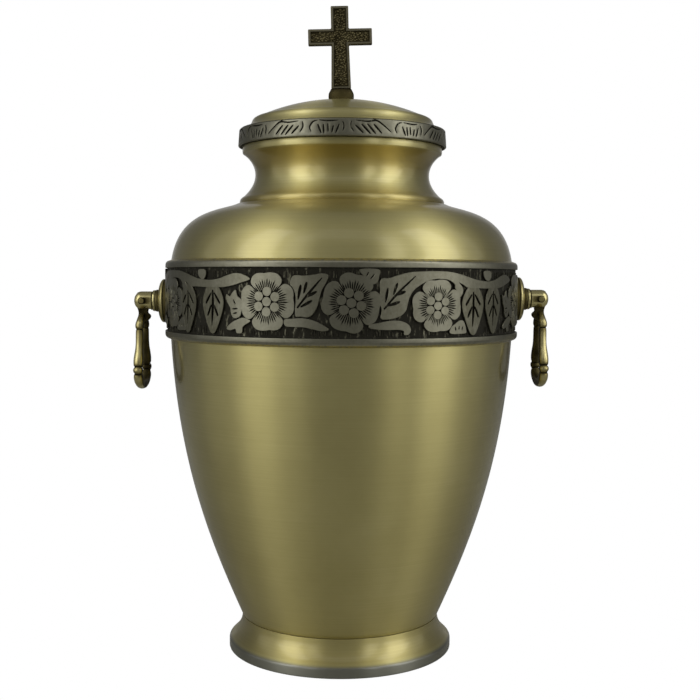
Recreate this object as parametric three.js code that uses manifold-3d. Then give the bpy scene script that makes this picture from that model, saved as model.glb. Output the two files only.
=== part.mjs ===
import * as THREE from 'three';
import { mergeVertices } from 'three/addons/utils/BufferGeometryUtils.js';
import ManifoldModule from 'manifold-3d';

// Lidded urn of spun brass: hollow body on a spread foot, a pewter-finished band of flowers,
// a waisted neck, a low lid with a pewter rim, a cross on top and two hinged drop handles.
// Millimetres, +Z up, standing on Z = 0, front towards -Y, handles on the X axis.

const wasm = await ManifoldModule();
wasm.setup();

const wallThickness = 1.8;
const ringFacets = 28;
const degree = Math.PI / 180;

const footRadius = 55.5;
const footTop = 16.6;
const creaseRadius = 49.0;
const bandSeatRadius = 84.0;
const bandBottom = 154.6;
const bandTop = 192.6;
const shoulderTop = 220.0;
const mouthRadius = 44.5;
const neckTop = 247.8;
const lidRimTop = 256.2;
const lidRimInner = 46.8;
const domeRadius = 44.9;
const domeStepTop = 262.1;
const domeTop = 271.1;

const bandGround = 85.6;
const bandFace = 86.7;
const flowerRadius = 12.3;
const leafPairAngles = [-47.0, 47.8, 136.2, 224.6, 313.0];
const flowerPlaces = [0.264, 0.535, 0.796];
const sprigPlaces = [0.405, 0.661];
const lidLeafCount = 16;
const lidLeafStart = -30.5;

const handleHeight = 174.2;
const leftHandleDrop = 1.9;
const pinReach = 98.9;
const rosetteFront = 90.3;
const pinRadius = 1.4;
const pinHole = 1.75;
const knuckleRadius = 4.7;

const point = (radius, height) => new THREE.Vector2(radius, height);

const urn = new THREE.Group();
const finishes = {
  brass: { color: 0xa0976a, metalness: 1, roughness: 0.35 },
  pewter: { color: 0x7d7b70, metalness: 1, roughness: 0.4 },
  bronze: { color: 0x3b3724, metalness: 1, roughness: 0.5 },
  agedBrass: { color: 0x6d6848, metalness: 1, roughness: 0.4 },
};

function place(name, geometry, finish) {
  const mesh = new THREE.Mesh(geometry, new THREE.MeshStandardMaterial(finishes[finish]));
  mesh.name = name;
  urn.add(mesh);
}

// Booleans work on closed solids with one vertex at each corner
function solidOf(geometry) {
  const bare = geometry.clone();
  bare.deleteAttribute('normal');
  bare.deleteAttribute('uv');
  const merged = mergeVertices(bare, 1e-4);
  const corners = merged.index.array;
  const kept = [];
  for (let i = 0; i < corners.length; i += 3) {
    const [a, b, c] = [corners[i], corners[i + 1], corners[i + 2]];
    if (a !== b && b !== c && c !== a) {
      kept.push(a, b, c);
    }
  }
  return new wasm.Manifold(new wasm.Mesh({
    numProp: 3,
    vertProperties: Float32Array.from(merged.attributes.position.array),
    triVerts: Uint32Array.from(kept),
  }));
}

function geometryOf(solid) {
  const mesh = solid.getMesh();
  const geometry = new THREE.BufferGeometry();
  geometry.setAttribute('position', new THREE.BufferAttribute(Float32Array.from(mesh.vertProperties), 3));
  geometry.setIndex(new THREE.BufferAttribute(Uint32Array.from(mesh.triVerts), 1));
  geometry.computeVertexNormals();
  return geometry;
}

function curvePoints(start, startPull, endPull, end, pieces) {
  return new THREE.CubicBezierCurve(start, startPull, endPull, end).getPoints(pieces);
}

// The inside of a spun wall: each point of the outline moved in by the sheet's thickness
function insideOf(outline, thickness) {
  return outline.map((here, index) => {
    const before = outline[Math.max(index - 1, 0)];
    const after = outline[Math.min(index + 1, outline.length - 1)];
    const along = after.clone().sub(before).normalize();
    return point(here.x - along.y * thickness, here.y + along.x * thickness);
  });
}

// Turned about the urn's own axis; the profile runs up the outside and down the inside
function turned(profile, facets = ringFacets) {
  const geometry = new THREE.LatheGeometry(profile, facets);
  geometry.rotateX(Math.PI / 2);
  return geometry;
}

// Turned about the X axis; heights along the profile become reach from the urn's axis
function turnedSideways(profile, facets) {
  const geometry = new THREE.LatheGeometry(profile, facets);
  geometry.rotateZ(-Math.PI / 2);
  return geometry;
}

// Spread foot: a rim that stands on the ground, a rolled shoulder and a cove up to the crease
const footOutside = [
  point(footRadius - 0.4, 0),
  point(footRadius, 0.6),
  point(footRadius, 4.4),
  ...curvePoints(point(55.0, 5.4), point(52.4, 7.4), point(49.6, 10.0), point(creaseRadius, footTop), 3),
];
const footInside = [
  point(creaseRadius - 2.4, footTop),
  point(49.0, 8.6),
  point(footRadius - 3.0, 0),
];
place('foot', turned([...footOutside, ...footInside, footOutside[0]]), 'brass');

// Body: flat bottom on the foot, swelling belly, seat under the band, round shoulder, wide mouth
const belly = curvePoints(point(creaseRadius, footTop), point(65.5, 54.0), point(80.5, 91.9),
  point(bandSeatRadius, bandBottom), 6);
const shoulder = curvePoints(point(bandSeatRadius, bandTop), point(80.2, 217.6), point(59.5, 216.6),
  point(52.2, shoulderTop - 0.4), 5);
const bellyInside = insideOf(belly.filter((_, index) => index % 2 === 0), wallThickness);
const shoulderInside = insideOf(shoulder, wallThickness).filter((_, index) => index % 2 === 0);
place('body', turned([
  point(0, footTop),
  ...belly,
  ...shoulder,
  point(51.4, shoulderTop),
  point(mouthRadius, shoulderTop),
  point(mouthRadius, shoulderTop - wallThickness),
  ...shoulderInside.reverse(),
  ...bellyInside.slice(1).reverse(),
  point(creaseRadius - 0.6, footTop + wallThickness),
  point(0, footTop + wallThickness),
]), 'brass');

// Neck: stepped lip on the shoulder, waist, flare under the lid; an open tube
const waist = curvePoints(point(50.6, 222.0), point(34.6, 236.3), point(48.1, 243.3), point(49.9, neckTop), 5);
const waistInside = insideOf(waist, wallThickness).slice(1, -1);
const neckProfile = [
  point(mouthRadius + 2.0, shoulderTop),
  point(50.9, shoulderTop),
  point(50.9, 221.6),
  ...waist,
  point(48.0, neckTop),
  ...waistInside.reverse(),
];
place('neck', turned([...neckProfile, neckProfile[0]]), 'brass');

// Motifs are laid flat (x along the band, y up, z outward), then wrapped around the urn
function wrapped(geometry, radius, angle, height) {
  const position = geometry.attributes.position;
  for (let i = 0; i < position.count; i += 1) {
    const turn = angle * degree + position.getX(i) / radius;
    const reach = radius + position.getZ(i);
    position.setXYZ(i, reach * Math.sin(turn), -reach * Math.cos(turn), height + position.getY(i));
  }
  return geometry;
}

// A raised plate with sloping edges; outline(turn) gives its edge around the middle
function plate(outline, edges, depth, height) {
  const geometry = new THREE.CylinderGeometry(0.93, 1, 1, edges);
  geometry.rotateX(Math.PI / 2);
  const position = geometry.attributes.position;
  for (let i = 0; i < position.count; i += 1) {
    const [x, y, z] = [position.getX(i), position.getY(i), position.getZ(i)];
    const edge = outline(Math.atan2(y, x)).multiplyScalar(Math.hypot(x, y));
    position.setXYZ(i, edge.x, edge.y, z > 0 ? height : -depth);
  }
  return geometry;
}

// A raised strip along a curve, tapering from its root to its tip
function strip(curve, rootWidth, tipWidth, pieces, depth, height) {
  const geometry = new THREE.BoxGeometry(1, 1, 1, pieces, 1, 1);
  const position = geometry.attributes.position;
  for (let i = 0; i < position.count; i += 1) {
    const along = position.getX(i) + 0.5;
    const middle = curve.getPoint(along);
    const heading = curve.getTangent(along);
    const side = position.getY(i) * THREE.MathUtils.lerp(rootWidth, tipWidth, along);
    position.setXYZ(i, middle.x - heading.y * side, middle.y + heading.x * side,
      position.getZ(i) > 0 ? height : -depth);
  }
  return geometry;
}

// Four broad petals; the quarter-step start puts a corner in each notch between them
const petalOutline = (size) => (turn) => {
  const at = turn + 15 * degree;
  const reach = size * (0.62 + 0.40 * Math.sqrt(Math.abs(Math.cos(2 * at))));
  return point(reach * Math.cos(at), reach * Math.sin(at));
};

const seedOutline = (size) => (turn) => point(size * Math.cos(turn), size * Math.sin(turn));

const leafOutline = (length, width, lean) => (turn) => {
  const along = 0.5 * length * Math.cos(turn);
  const across = 0.5 * width * Math.sin(turn) * Math.sqrt(Math.abs(Math.sin(turn)));
  return point(along, across).rotateAround(point(0, 0), lean * degree);
};

function curveOf(...corners) {
  return new THREE.QuadraticBezierCurve(...corners.map(([x, y]) => point(x, y)));
}

// Band: a belt with two plain rims; flowers, leaves and stems stand up from its sunken ground
const bandProfile = [
  point(bandSeatRadius, bandBottom),
  point(85.4, bandBottom),
  point(bandFace, bandBottom + 1.6),
  point(bandFace, bandBottom + 4.2),
  point(bandGround, bandBottom + 4.8),
  point(bandGround, bandTop - 3.6),
  point(bandFace, bandTop - 3.0),
  point(bandFace, bandTop - 0.8),
  point(bandSeatRadius + 1.2, bandTop),
  point(bandSeatRadius, bandTop),
];
const bandMiddle = (bandBottom + 4.8 + bandTop - 3.6) / 2;
const reliefDepth = 0.6;
const reliefHeight = bandFace - bandGround;
const motifs = [];

function addMotif(geometry, angle, rise = 0) {
  motifs.push(solidOf(wrapped(geometry, bandGround, angle, bandMiddle + rise)));
}

for (let repeat = 0; repeat < 4; repeat += 1) {
  const start = leafPairAngles[repeat];
  const spread = leafPairAngles[repeat + 1] - start;
  for (const [side, lean] of [[-5.6, -100], [5.6, -80]]) {
    addMotif(plate(leafOutline(23, 12, lean), 8, reliefDepth, reliefHeight), start + side);
  }
  for (const share of flowerPlaces) {
    const angle = start + share * spread;
    addMotif(plate(petalOutline(flowerRadius), 12, reliefDepth, reliefHeight - 0.2), angle);
    addMotif(plate(seedOutline(5.6), 6, reliefDepth, reliefHeight + 0.25), angle);
  }
  for (const [index, share] of sprigPlaces.entries()) {
    const lean = index === 0 ? -70 : -105;
    addMotif(plate(leafOutline(19, 9, lean), 6, reliefDepth, reliefHeight), start + share * spread, 2);
  }
  const stems = [
    [0.13, curveOf([-9, 6], [0, 13], [9, 9])],
    [0.40, curveOf([-9, -9], [0, -14], [10, -8])],
    [0.90, curveOf([-9, 10], [0, 13], [9, 5])],
  ];
  for (const [share, curve] of stems) {
    addMotif(strip(curve, 4.5, 2.6, 2, reliefDepth, reliefHeight - 0.1), start + share * spread);
  }
}
const belt = solidOf(turned([...bandProfile, bandProfile[0]]));
place('band', geometryOf(motifs.reduce((whole, motif) => whole.add(motif), belt)), 'pewter');

// Lid rim: a ring that rests on the neck, with a run of slanted leaves around its face
const lidRimFace = 50.8;
const lidRimProfile = [
  point(lidRimInner, neckTop),
  point(50.6, neckTop),
  point(51.3, neckTop + 0.9),
  point(lidRimFace, neckTop + 1.6),
  point(lidRimFace, lidRimTop),
  point(lidRimInner, lidRimTop),
];
let lidRim = solidOf(turned([...lidRimProfile, lidRimProfile[0]]));
const lidRimMiddle = (neckTop + 1.6 + lidRimTop) / 2;
for (let leaf = 0; leaf < lidLeafCount; leaf += 1) {
  const lean = [18, 0, -18, 0][leaf % 4];
  const outline = leafOutline(13, 4.2, lean);
  const geometry = plate(outline, 4, 0.5, 0.4);
  lidRim = lidRim.add(solidOf(wrapped(geometry, lidRimFace, lidLeafStart + leaf * 360 / lidLeafCount, lidRimMiddle)));
}
place('lid_rim', geometryOf(lidRim), 'pewter');

// Lid: coved shoulder, rounded step and a low dome, hollow below, with a locating skirt
const domeRise = domeTop - domeStepTop;
const domeEdge = domeRadius - 2.4;
const domeSphere = (domeEdge * domeEdge + domeRise * domeRise) / (2 * domeRise);
const bossRadius = 6.6;
function domeHeight(radius) {
  return domeTop - domeSphere + Math.sqrt(domeSphere * domeSphere - radius * radius);
}
const domeOutside = [domeEdge, 34, 21, bossRadius].map((radius) => point(radius, domeHeight(radius)));
const bossTop = domeHeight(bossRadius);
const domeInside = insideOf(domeOutside, wallThickness).slice(1, 3);
place('lid', turned([
  point(42.5, neckTop - 4.0),
  point(44.2, neckTop - 4.0),
  point(44.2, neckTop),
  point(lidRimInner, neckTop),
  point(lidRimInner, lidRimTop),
  point(50.3, lidRimTop),
  point(47.0, 257.8),
  point(domeRadius + 0.6, 259.7),
  point(domeRadius, domeStepTop - 0.9),
  ...domeOutside,
  point(0, bossTop),
  point(0, bossTop - wallThickness),
  ...domeInside.reverse(),
  point(42.5, 258.0),
  point(42.5, neckTop - 4.0),
]), 'brass');

// Collar of the cross, a turned nut on the lid's boss
const collarTop = bossTop + 5.9;
const crossOffset = -0.7;
const collar = turned([
  point(0, bossTop),
  point(5.7, bossTop),
  point(6.2, bossTop + 0.7),
  point(6.2, bossTop + 2.0),
  point(5.8, bossTop + 2.4),
  point(6.2, bossTop + 2.8),
  point(5.2, collarTop),
  point(0, collarTop),
], 10);
collar.translate(crossOffset, 0, 0);
place('cross_collar', collar, 'agedBrass');

// Cross: a flat cast Latin cross that leans a little to the left, with a sunken front panel
const crossHeight = 40.2;
const crossDepth = 3.6;
const crossLean = 1.6;
const armSpan = 31.3;
const armLow = 21.4;
const armHigh = 29.2;
const postHalf = 4.3;
const postFootHalf = 4.85;

function crossOutline(inset) {
  const arm = armSpan / 2 - inset;
  const half = postHalf - inset;
  const right = [
    point(postFootHalf - inset, inset),
    point(half, armLow + inset),
    point(arm, armLow + inset),
    point(arm, armHigh - inset),
    point(half, armHigh - inset),
    point(half, crossHeight - inset),
  ];
  const left = right.map((corner) => point(-corner.x, corner.y)).reverse();
  const leaned = [...right, ...left].map((corner) => corner.rotateAround(point(0, 0), crossLean * degree));
  if (inset === 0) {
    leaned[0].y = 0;
    leaned[leaned.length - 1].y = 0;
  }
  return new THREE.Shape(leaned);
}

// Upright slab of an outline, its back at the given depth behind the middle
function slab(outline, depth, back) {
  const geometry = new THREE.ExtrudeGeometry(outline, { depth, bevelEnabled: false });
  geometry.rotateX(Math.PI / 2);
  geometry.translate(crossOffset, back, collarTop);
  return geometry;
}
const crossBlank = solidOf(slab(crossOutline(0), crossDepth, crossDepth / 2));
const crossPanel = solidOf(slab(crossOutline(1.1), 1.6, 0.7 - crossDepth / 2));
place('cross', geometryOf(crossBlank.subtract(crossPanel)), 'bronze');

// Fittings of one handle, made for the right side; the left set is the same turned half around,
// and sits a little lower
function barAlongY(radius, length, facets) {
  const geometry = new THREE.CylinderGeometry(radius, radius, length, facets);
  geometry.translate(pinReach, 0, handleHeight);
  return geometry;
}

function block(fromX, toX, width, fromZ, toZ) {
  const geometry = new THREE.BoxGeometry(toX - fromX, width, toZ - fromZ);
  geometry.translate((fromX + toX) / 2, 0, handleHeight + (fromZ + toZ) / 2);
  return geometry;
}

// Rosette: a stepped disc, hollowed at the back to lie against the round band
const bandClearance = bandFace + 0.55;
const rosetteProfile = [
  point(0, 85.4),
  point(10.8, 85.4),
  point(10.8, 88.2),
  point(9.9, 89.2),
  point(8.2, 90.0),
  point(6.6, rosetteFront),
  point(0, rosetteFront),
];
const rosetteBlank = turnedSideways(rosetteProfile, 16);
rosetteBlank.translate(0, 0, handleHeight);
const backing = new THREE.CylinderGeometry(bandClearance, bandClearance, 40, 48);
backing.rotateX(Math.PI / 2);
backing.translate(0, 0, handleHeight);
const rosette = solidOf(rosetteBlank).subtract(solidOf(backing));

// Post: ringed collar and round-ended knuckle, slotted from below for the handle's tongue
const postProfile = [
  point(0, rosetteFront),
  point(5.4, rosetteFront),
  point(5.4, 91.8),
  point(4.5, 92.2),
  point(5.1, 92.7),
  point(5.1, 93.4),
  point(knuckleRadius, 93.8),
  point(knuckleRadius, pinReach),
  point(3.6, pinReach + 3.2),
  point(0, pinReach + knuckleRadius),
];
const postBlank = turnedSideways(postProfile, 12);
postBlank.translate(0, 0, handleHeight);
const post = solidOf(postBlank)
  .subtract(solidOf(block(94.4, 105, 3.9, -6, 3.5)))
  .subtract(solidOf(barAlongY(pinHole, 12, 8)));

const pin = solidOf(barAlongY(pinRadius, 2 * knuckleRadius + 0.8, 8));

// Drop loop: a pear-shaped ring hanging from a tongue; width, drop and thickness at each station
const loopStations = [
  [0.0, -7.2, 1.9],
  [4.6, -8.5, 1.7],
  [7.6, -11.0, 2.2],
  [8.1, -12.9, 2.3],
  [8.1, -16.0, 1.8],
  [8.8, -21.5, 1.9],
  [10.8, -27.4, 2.4],
  [12.2, -31.8, 2.4],
  [12.5, -33.8, 2.7],
  [12.3, -36.0, 2.2],
  [9.8, -39.3, 2.3],
  [5.4, -41.1, 2.3],
  [0.0, -41.6, 2.4],
];
const loopRight = loopStations.map(([width, drop, thickness]) => new THREE.Vector3(thickness, width, drop));
const loopLeft = loopRight.slice(1, -1).map((at) => new THREE.Vector3(at.x, -at.y, at.z));
const loopCurve = new THREE.CatmullRomCurve3([...loopLeft, ...loopRight.slice().reverse()], true);
const loopSteps = 28;
const loopSides = 5;
const loopTube = new THREE.TorusGeometry(1, 0.3, loopSides, loopSteps);
const loopPosition = loopTube.attributes.position;
for (let index = 0; index < loopPosition.count; index += 1) {
  const step = (index % (loopSteps + 1)) % loopSteps;
  const around = (Math.floor(index / (loopSteps + 1)) % loopSides) * 2 * Math.PI / loopSides;
  const middle = loopCurve.getPointAt(step / loopSteps);
  const ahead = loopCurve.getPointAt((step + 0.5) / loopSteps % 1);
  const behind = loopCurve.getPointAt((step - 0.5 + loopSteps) / loopSteps % 1);
  const heading = point(ahead.y - behind.y, ahead.z - behind.z).normalize();
  const outward = middle.x * Math.cos(around);
  loopPosition.setXYZ(index, pinReach + middle.x * Math.sin(around),
    middle.y + heading.y * outward, handleHeight + middle.z - heading.x * outward);
}
const handle = solidOf(loopTube)
  .add(solidOf(barAlongY(3.2, 3.2, 12)))
  .add(solidOf(block(pinReach - 1.9, pinReach + 1.9, 3.2, -7.4, 0)))
  .subtract(solidOf(barAlongY(pinHole, 12, 8)));

for (const [side, turn, drop] of [['left', Math.PI, leftHandleDrop], ['right', 0, 0]]) {
  const fittings = { rosette, post, pin, handle };
  for (const [name, solid] of Object.entries(fittings)) {
    const geometry = geometryOf(solid);
    geometry.rotateZ(turn);
    geometry.translate(0, 0, -drop);
    place(`${side}_${name}`, geometry, 'agedBrass');
  }
}

export default urn;
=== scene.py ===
import math

import bmesh
import bpy
from mathutils import Matrix, Vector
from mathutils.geometry import delaunay_2d_cdt


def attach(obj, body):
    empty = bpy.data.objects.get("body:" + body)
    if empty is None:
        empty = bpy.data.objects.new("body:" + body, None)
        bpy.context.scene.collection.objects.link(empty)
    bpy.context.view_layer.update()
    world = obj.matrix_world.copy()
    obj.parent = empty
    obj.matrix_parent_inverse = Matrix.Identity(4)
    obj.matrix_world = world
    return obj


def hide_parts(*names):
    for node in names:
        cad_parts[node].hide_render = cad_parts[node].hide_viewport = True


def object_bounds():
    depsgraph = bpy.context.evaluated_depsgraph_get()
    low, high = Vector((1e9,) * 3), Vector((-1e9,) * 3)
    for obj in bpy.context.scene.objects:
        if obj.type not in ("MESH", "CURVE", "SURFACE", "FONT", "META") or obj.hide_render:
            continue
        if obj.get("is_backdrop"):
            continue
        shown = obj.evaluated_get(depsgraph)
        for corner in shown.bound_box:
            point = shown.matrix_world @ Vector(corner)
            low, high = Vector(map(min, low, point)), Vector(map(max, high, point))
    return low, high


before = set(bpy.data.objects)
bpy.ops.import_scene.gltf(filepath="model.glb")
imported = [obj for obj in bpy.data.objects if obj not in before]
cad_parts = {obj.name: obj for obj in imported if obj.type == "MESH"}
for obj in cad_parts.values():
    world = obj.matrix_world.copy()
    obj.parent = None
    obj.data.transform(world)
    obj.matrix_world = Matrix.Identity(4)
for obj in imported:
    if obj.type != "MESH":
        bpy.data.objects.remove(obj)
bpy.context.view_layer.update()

# Lidded urn of spun brass with a pewter-finished band of flowers, a low lid with a cross,
# and two drop handles. Sizes are in millimetres and become metres when a mesh is made.

MM = 0.001
TURN_STEPS = 256
SMALL_TURN_STEPS = 96
ROUNDING_STEPS = 5
SHARP_ANGLE = 38
PLATE_GRID = 3.0
EASED_SHADE = 0.35
WALL_FLARE = 1.3

FOOT_TOP = 16.6
BAND_BOTTOM = 155.0
BAND_TOP = 192.4
BAND_GROUND = 85.6
BAND_FACE = 86.7
BAND_SEAT = 84.0
GROUND_LOW = 158.5
GROUND_HIGH = 188.3
NECK_FOOT = 220.0
LID_REST = 247.8
LID_RIM_TOP = 256.2
LID_RIM_FACE = 50.9
LID_RIM_CUT = 50.2
LID_RIM_SLOPE = 0.07
DOME_TOP = 271.1
DOME_SPHERE = 101.0
COLLAR_FOOT = 270.7
CROSS_FOOT = 276.7
CROSS_OFFSET = -0.7
PIN_REACH = 98.9
HANDLE_HEIGHT = 174.2
LEFT_HANDLE_DROP = 1.9
WALL = 1.8

# How far the brass is tinted warmer and darker towards the foot, and darkened as painted shade
# where the shoulder meets the neck and under the neck's lip, and the heights between which each sets
# in; the foot's rim turns grey
WARM_FOOT = 0.17
SHOULDER_WARM_SHADE = 0.4
NECK_WARM_SHADE = 0.75
GREY_RIM_SPAN = (6.1, 4.9)
SHOULDER_SPAN = (213.5, 217.0)
LOW_NECK_SPAN = (227.0, 223.0)
HIGH_NECK_SPAN = (231.0, 239.0)
NECK_LIP_SPAN = (245.2, 243.8)

# Where the pattern's four repeats start, in degrees from the front; the three behind are drawn a
# little closer along the band than the front one, which starts at this place on the flat drawing
REPEAT_STARTS = (-47.0, 47.8, 136.2, 224.6)
REPEAT_SQUEEZE = 0.932
PATTERN_START = -71.1

# Where the arched sprigs and the two hanging leaves of each repeat stand, in degrees from the front
ARCH_TURNS = (0.0, 89.5, 178.0, -91.7)
FIRST_LEAF_TURNS = (-53.5, 42.4, 131.0, 219.6)
SECOND_LEAF_TURNS = (-41.0, 52.5, 141.2, 229.6)


# Meshes

def make_object(name, points, faces, material, tone_and_shade=None, coords=None, sharp=SHARP_ANGLE):
    mesh = bpy.data.meshes.new(name)
    mesh.from_pydata([Vector(p) * MM for p in points], [], faces)
    mesh.polygons.foreach_set("use_smooth", [True] * len(mesh.polygons))
    if tone_and_shade is not None:
        layer = mesh.attributes.new("tone_and_shade", "FLOAT", "POINT")
        layer.data.foreach_set("value", tone_and_shade)
    if coords is not None:
        layer = mesh.uv_layers.new(name="UVMap")
        for loop in mesh.loops:
            layer.data[loop.index].uv = coords[loop.vertex_index]
    mesh.validate()
    mesh.set_sharp_from_angle(angle=math.radians(sharp))
    mesh.materials.append(material)
    piece = bpy.data.objects.new(name, mesh)
    bpy.context.collection.objects.link(piece)
    return piece


def finish_piece(piece, body, slot, *nodes):
    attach(piece, body)
    if nodes:
        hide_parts(*nodes)


def bezier(start, start_pull, end_pull, end, count):
    curve = []
    for step in range(count + 1):
        t = step / count
        weights = ((1 - t) ** 3, 3 * t * (1 - t) ** 2, 3 * t * t * (1 - t), t ** 3)
        corners = (start, start_pull, end_pull, end)
        curve.append(tuple(sum(w * c[axis] for w, c in zip(weights, corners)) for axis in (0, 1)))
    return curve


def share(value, start, full):
    """How far the value has come from start to full, between 0 and 1."""
    return max(0.0, min(1.0, (value - start) / (full - start)))


def rounded(corners):
    """A profile whose corners (radius, height, rounding) are eased by their own rounding."""
    eased = []
    for index, (radius, height, easing) in enumerate(corners):
        here = Vector((radius, height))
        if easing == 0 or index in (0, len(corners) - 1):
            eased.append((radius, height))
            continue
        before = Vector(corners[index - 1][:2]) - here
        after = Vector(corners[index + 1][:2]) - here
        lead = here + before.normalized() * min(easing, 0.49 * before.length)
        trail = here + after.normalized() * min(easing, 0.49 * after.length)
        for step in range(ROUNDING_STEPS + 1):
            t = step / ROUNDING_STEPS
            spot = lead * (1 - t) ** 2 + here * 2 * t * (1 - t) + trail * t * t
            eased.append((spot.x, spot.y))
    return eased


def inside_of(outline, thickness):
    """The inner face of a spun wall, one sheet thickness in from its outline."""
    inner = []
    for index, here in enumerate(outline):
        before = Vector(outline[max(index - 1, 0)])
        after = Vector(outline[min(index + 1, len(outline) - 1)])
        along = (after - before).normalized()
        inner.append((here[0] - along.y * thickness, here[1] + along.x * thickness))
    return inner


def turned_mesh(profile, steps=TURN_STEPS):
    """Rings of points about Z; the profile runs up the outside and down the inside."""
    closed = profile[0][0] > 1e-6 and profile[-1][0] > 1e-6
    points, faces, coords, rings = [], [], [], []
    run = 0.0
    for index, (radius, height) in enumerate(profile):
        if index:
            last = profile[index - 1]
            run += math.hypot(radius - last[0], height - last[1])
        if radius <= 1e-6:
            rings.append([len(points)] * steps)
            points.append((0, 0, height))
            coords.append((0.5, run * MM))
            continue
        rings.append([len(points) + step for step in range(steps)])
        for step in range(steps):
            angle = 2 * math.pi * step / steps
            points.append((radius * math.sin(angle), radius * math.cos(angle), height))
            coords.append((step / steps, run * MM))
    pairs = list(zip(rings, rings[1:]))
    if closed:
        pairs.append((rings[-1], rings[0]))
    for low, high in pairs:
        for step in range(steps):
            ahead = (step + 1) % steps
            corners = [low[ahead], low[step], high[step], high[ahead]]
            face = [c for place, c in enumerate(corners) if c not in corners[:place]]
            if len(face) > 2:
                faces.append(face)
    return points, faces, coords


def turned(name, profile, material, tone_and_shade=None, steps=TURN_STEPS):
    points, faces, coords = turned_mesh(profile, steps)
    shade = None
    if tone_and_shade is not None:
        shade = [tone_and_shade(math.hypot(p[0], p[1]), p[2]) for p in points]
    return make_object(name, points, faces, material, shade, coords)


def smooth(corners, step=0.55, closed=True):
    """A curve through the corners, sampled about every step millimetres."""
    count = len(corners)
    spans = count if closed else count - 1
    curve = []

    def corner(index):
        if closed:
            return Vector(corners[index % count])
        return Vector(corners[min(max(index, 0), count - 1)])

    for span in range(spans):
        a, b, c, d = (corner(span + shift) for shift in (-1, 0, 1, 2))
        pieces = max(2, round((c - b).length / step))
        for piece in range(pieces):
            t = piece / pieces
            spot = 0.5 * (2 * b + (c - a) * t + (2 * a - 5 * b + 4 * c - d) * t * t
                          + (3 * b - a - 3 * c + d) * t ** 3)
            curve.append(tuple(spot))
    if not closed:
        curve.append(tuple(corners[-1]))
    return curve


def cut_line(corners, width, taper=(0.35, 1.0, 0.15)):
    """The outline of an engraved line along the corners, with its width at start, middle, end."""
    spine = [Vector(p) for p in (smooth(corners, 0.7, False) if len(corners) > 2 else corners)]
    if len(spine) == 2:
        spine = [spine[0].lerp(spine[1], share) for share in (0, 0.2, 0.45, 0.7, 0.9, 1)]
    left, right = [], []
    for index, spot in enumerate(spine):
        along = (spine[min(index + 1, len(spine) - 1)] - spine[max(index - 1, 0)]).normalized()
        share = index / (len(spine) - 1)
        if share < 0.5:
            size = taper[0] + (taper[1] - taper[0]) * math.sin(math.pi * share)
        else:
            size = taper[2] + (taper[1] - taper[2]) * math.sin(math.pi * share)
        side = Vector((-along.y, along.x)) * 0.5 * width * size
        left.append(tuple(spot + side))
        right.append(tuple(spot - side))
    return left + right[::-1]


def within(spot, loop):
    x, y = spot
    hit = False
    for (ax, ay), (bx, by) in zip(loop, loop[1:] + loop[:1]):
        if (ay > y) != (by > y) and x < ax + (y - ay) * (bx - ax) / (by - ay):
            hit = not hit
    return hit


def filled(outline, cuts):
    """Triangles over an outline with cuts left open: spots, triangles, the spots of the outline."""
    loops = [list(outline)] + [list(cut) for cut in cuts]
    flat, edges = [], []
    for loop in loops:
        first = len(flat)
        flat += [Vector(p) for p in loop]
        edges += [(first + i, first + (i + 1) % len(loop)) for i in range(len(loop))]
    low_x, high_x = min(p[0] for p in outline), max(p[0] for p in outline)
    low_y, high_y = min(p[1] for p in outline), max(p[1] for p in outline)
    rim = flat[:]
    for column in range(1, int((high_x - low_x) / PLATE_GRID) + 1):
        for row in range(1, int((high_y - low_y) / PLATE_GRID) + 1):
            along = low_x + (column - 0.5 * (row % 2)) * PLATE_GRID
            spot = Vector((along, low_y + row * PLATE_GRID))
            if all((spot - p).length > 0.5 * PLATE_GRID for p in rim):
                flat.append(spot)
    spots, _, triangles, sources, _, _ = delaunay_2d_cdt(flat, edges, [], 0, 1e-5)
    kept = []
    for triangle in triangles:
        middle = sum((spots[i] for i in triangle), Vector((0, 0))) / 3
        if within(middle, loops[0]) and not any(within(middle, cut) for cut in loops[1:]):
            kept.append(list(triangle))
    used = sorted({i for triangle in kept for i in triangle})
    rank = {old: new for new, old in enumerate(used)}
    outer = {rank[i] for i in used if any(source < len(outline) for source in sources[i])}
    return [spots[i] for i in used], [[rank[i] for i in triangle] for triangle in kept], outer


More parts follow.
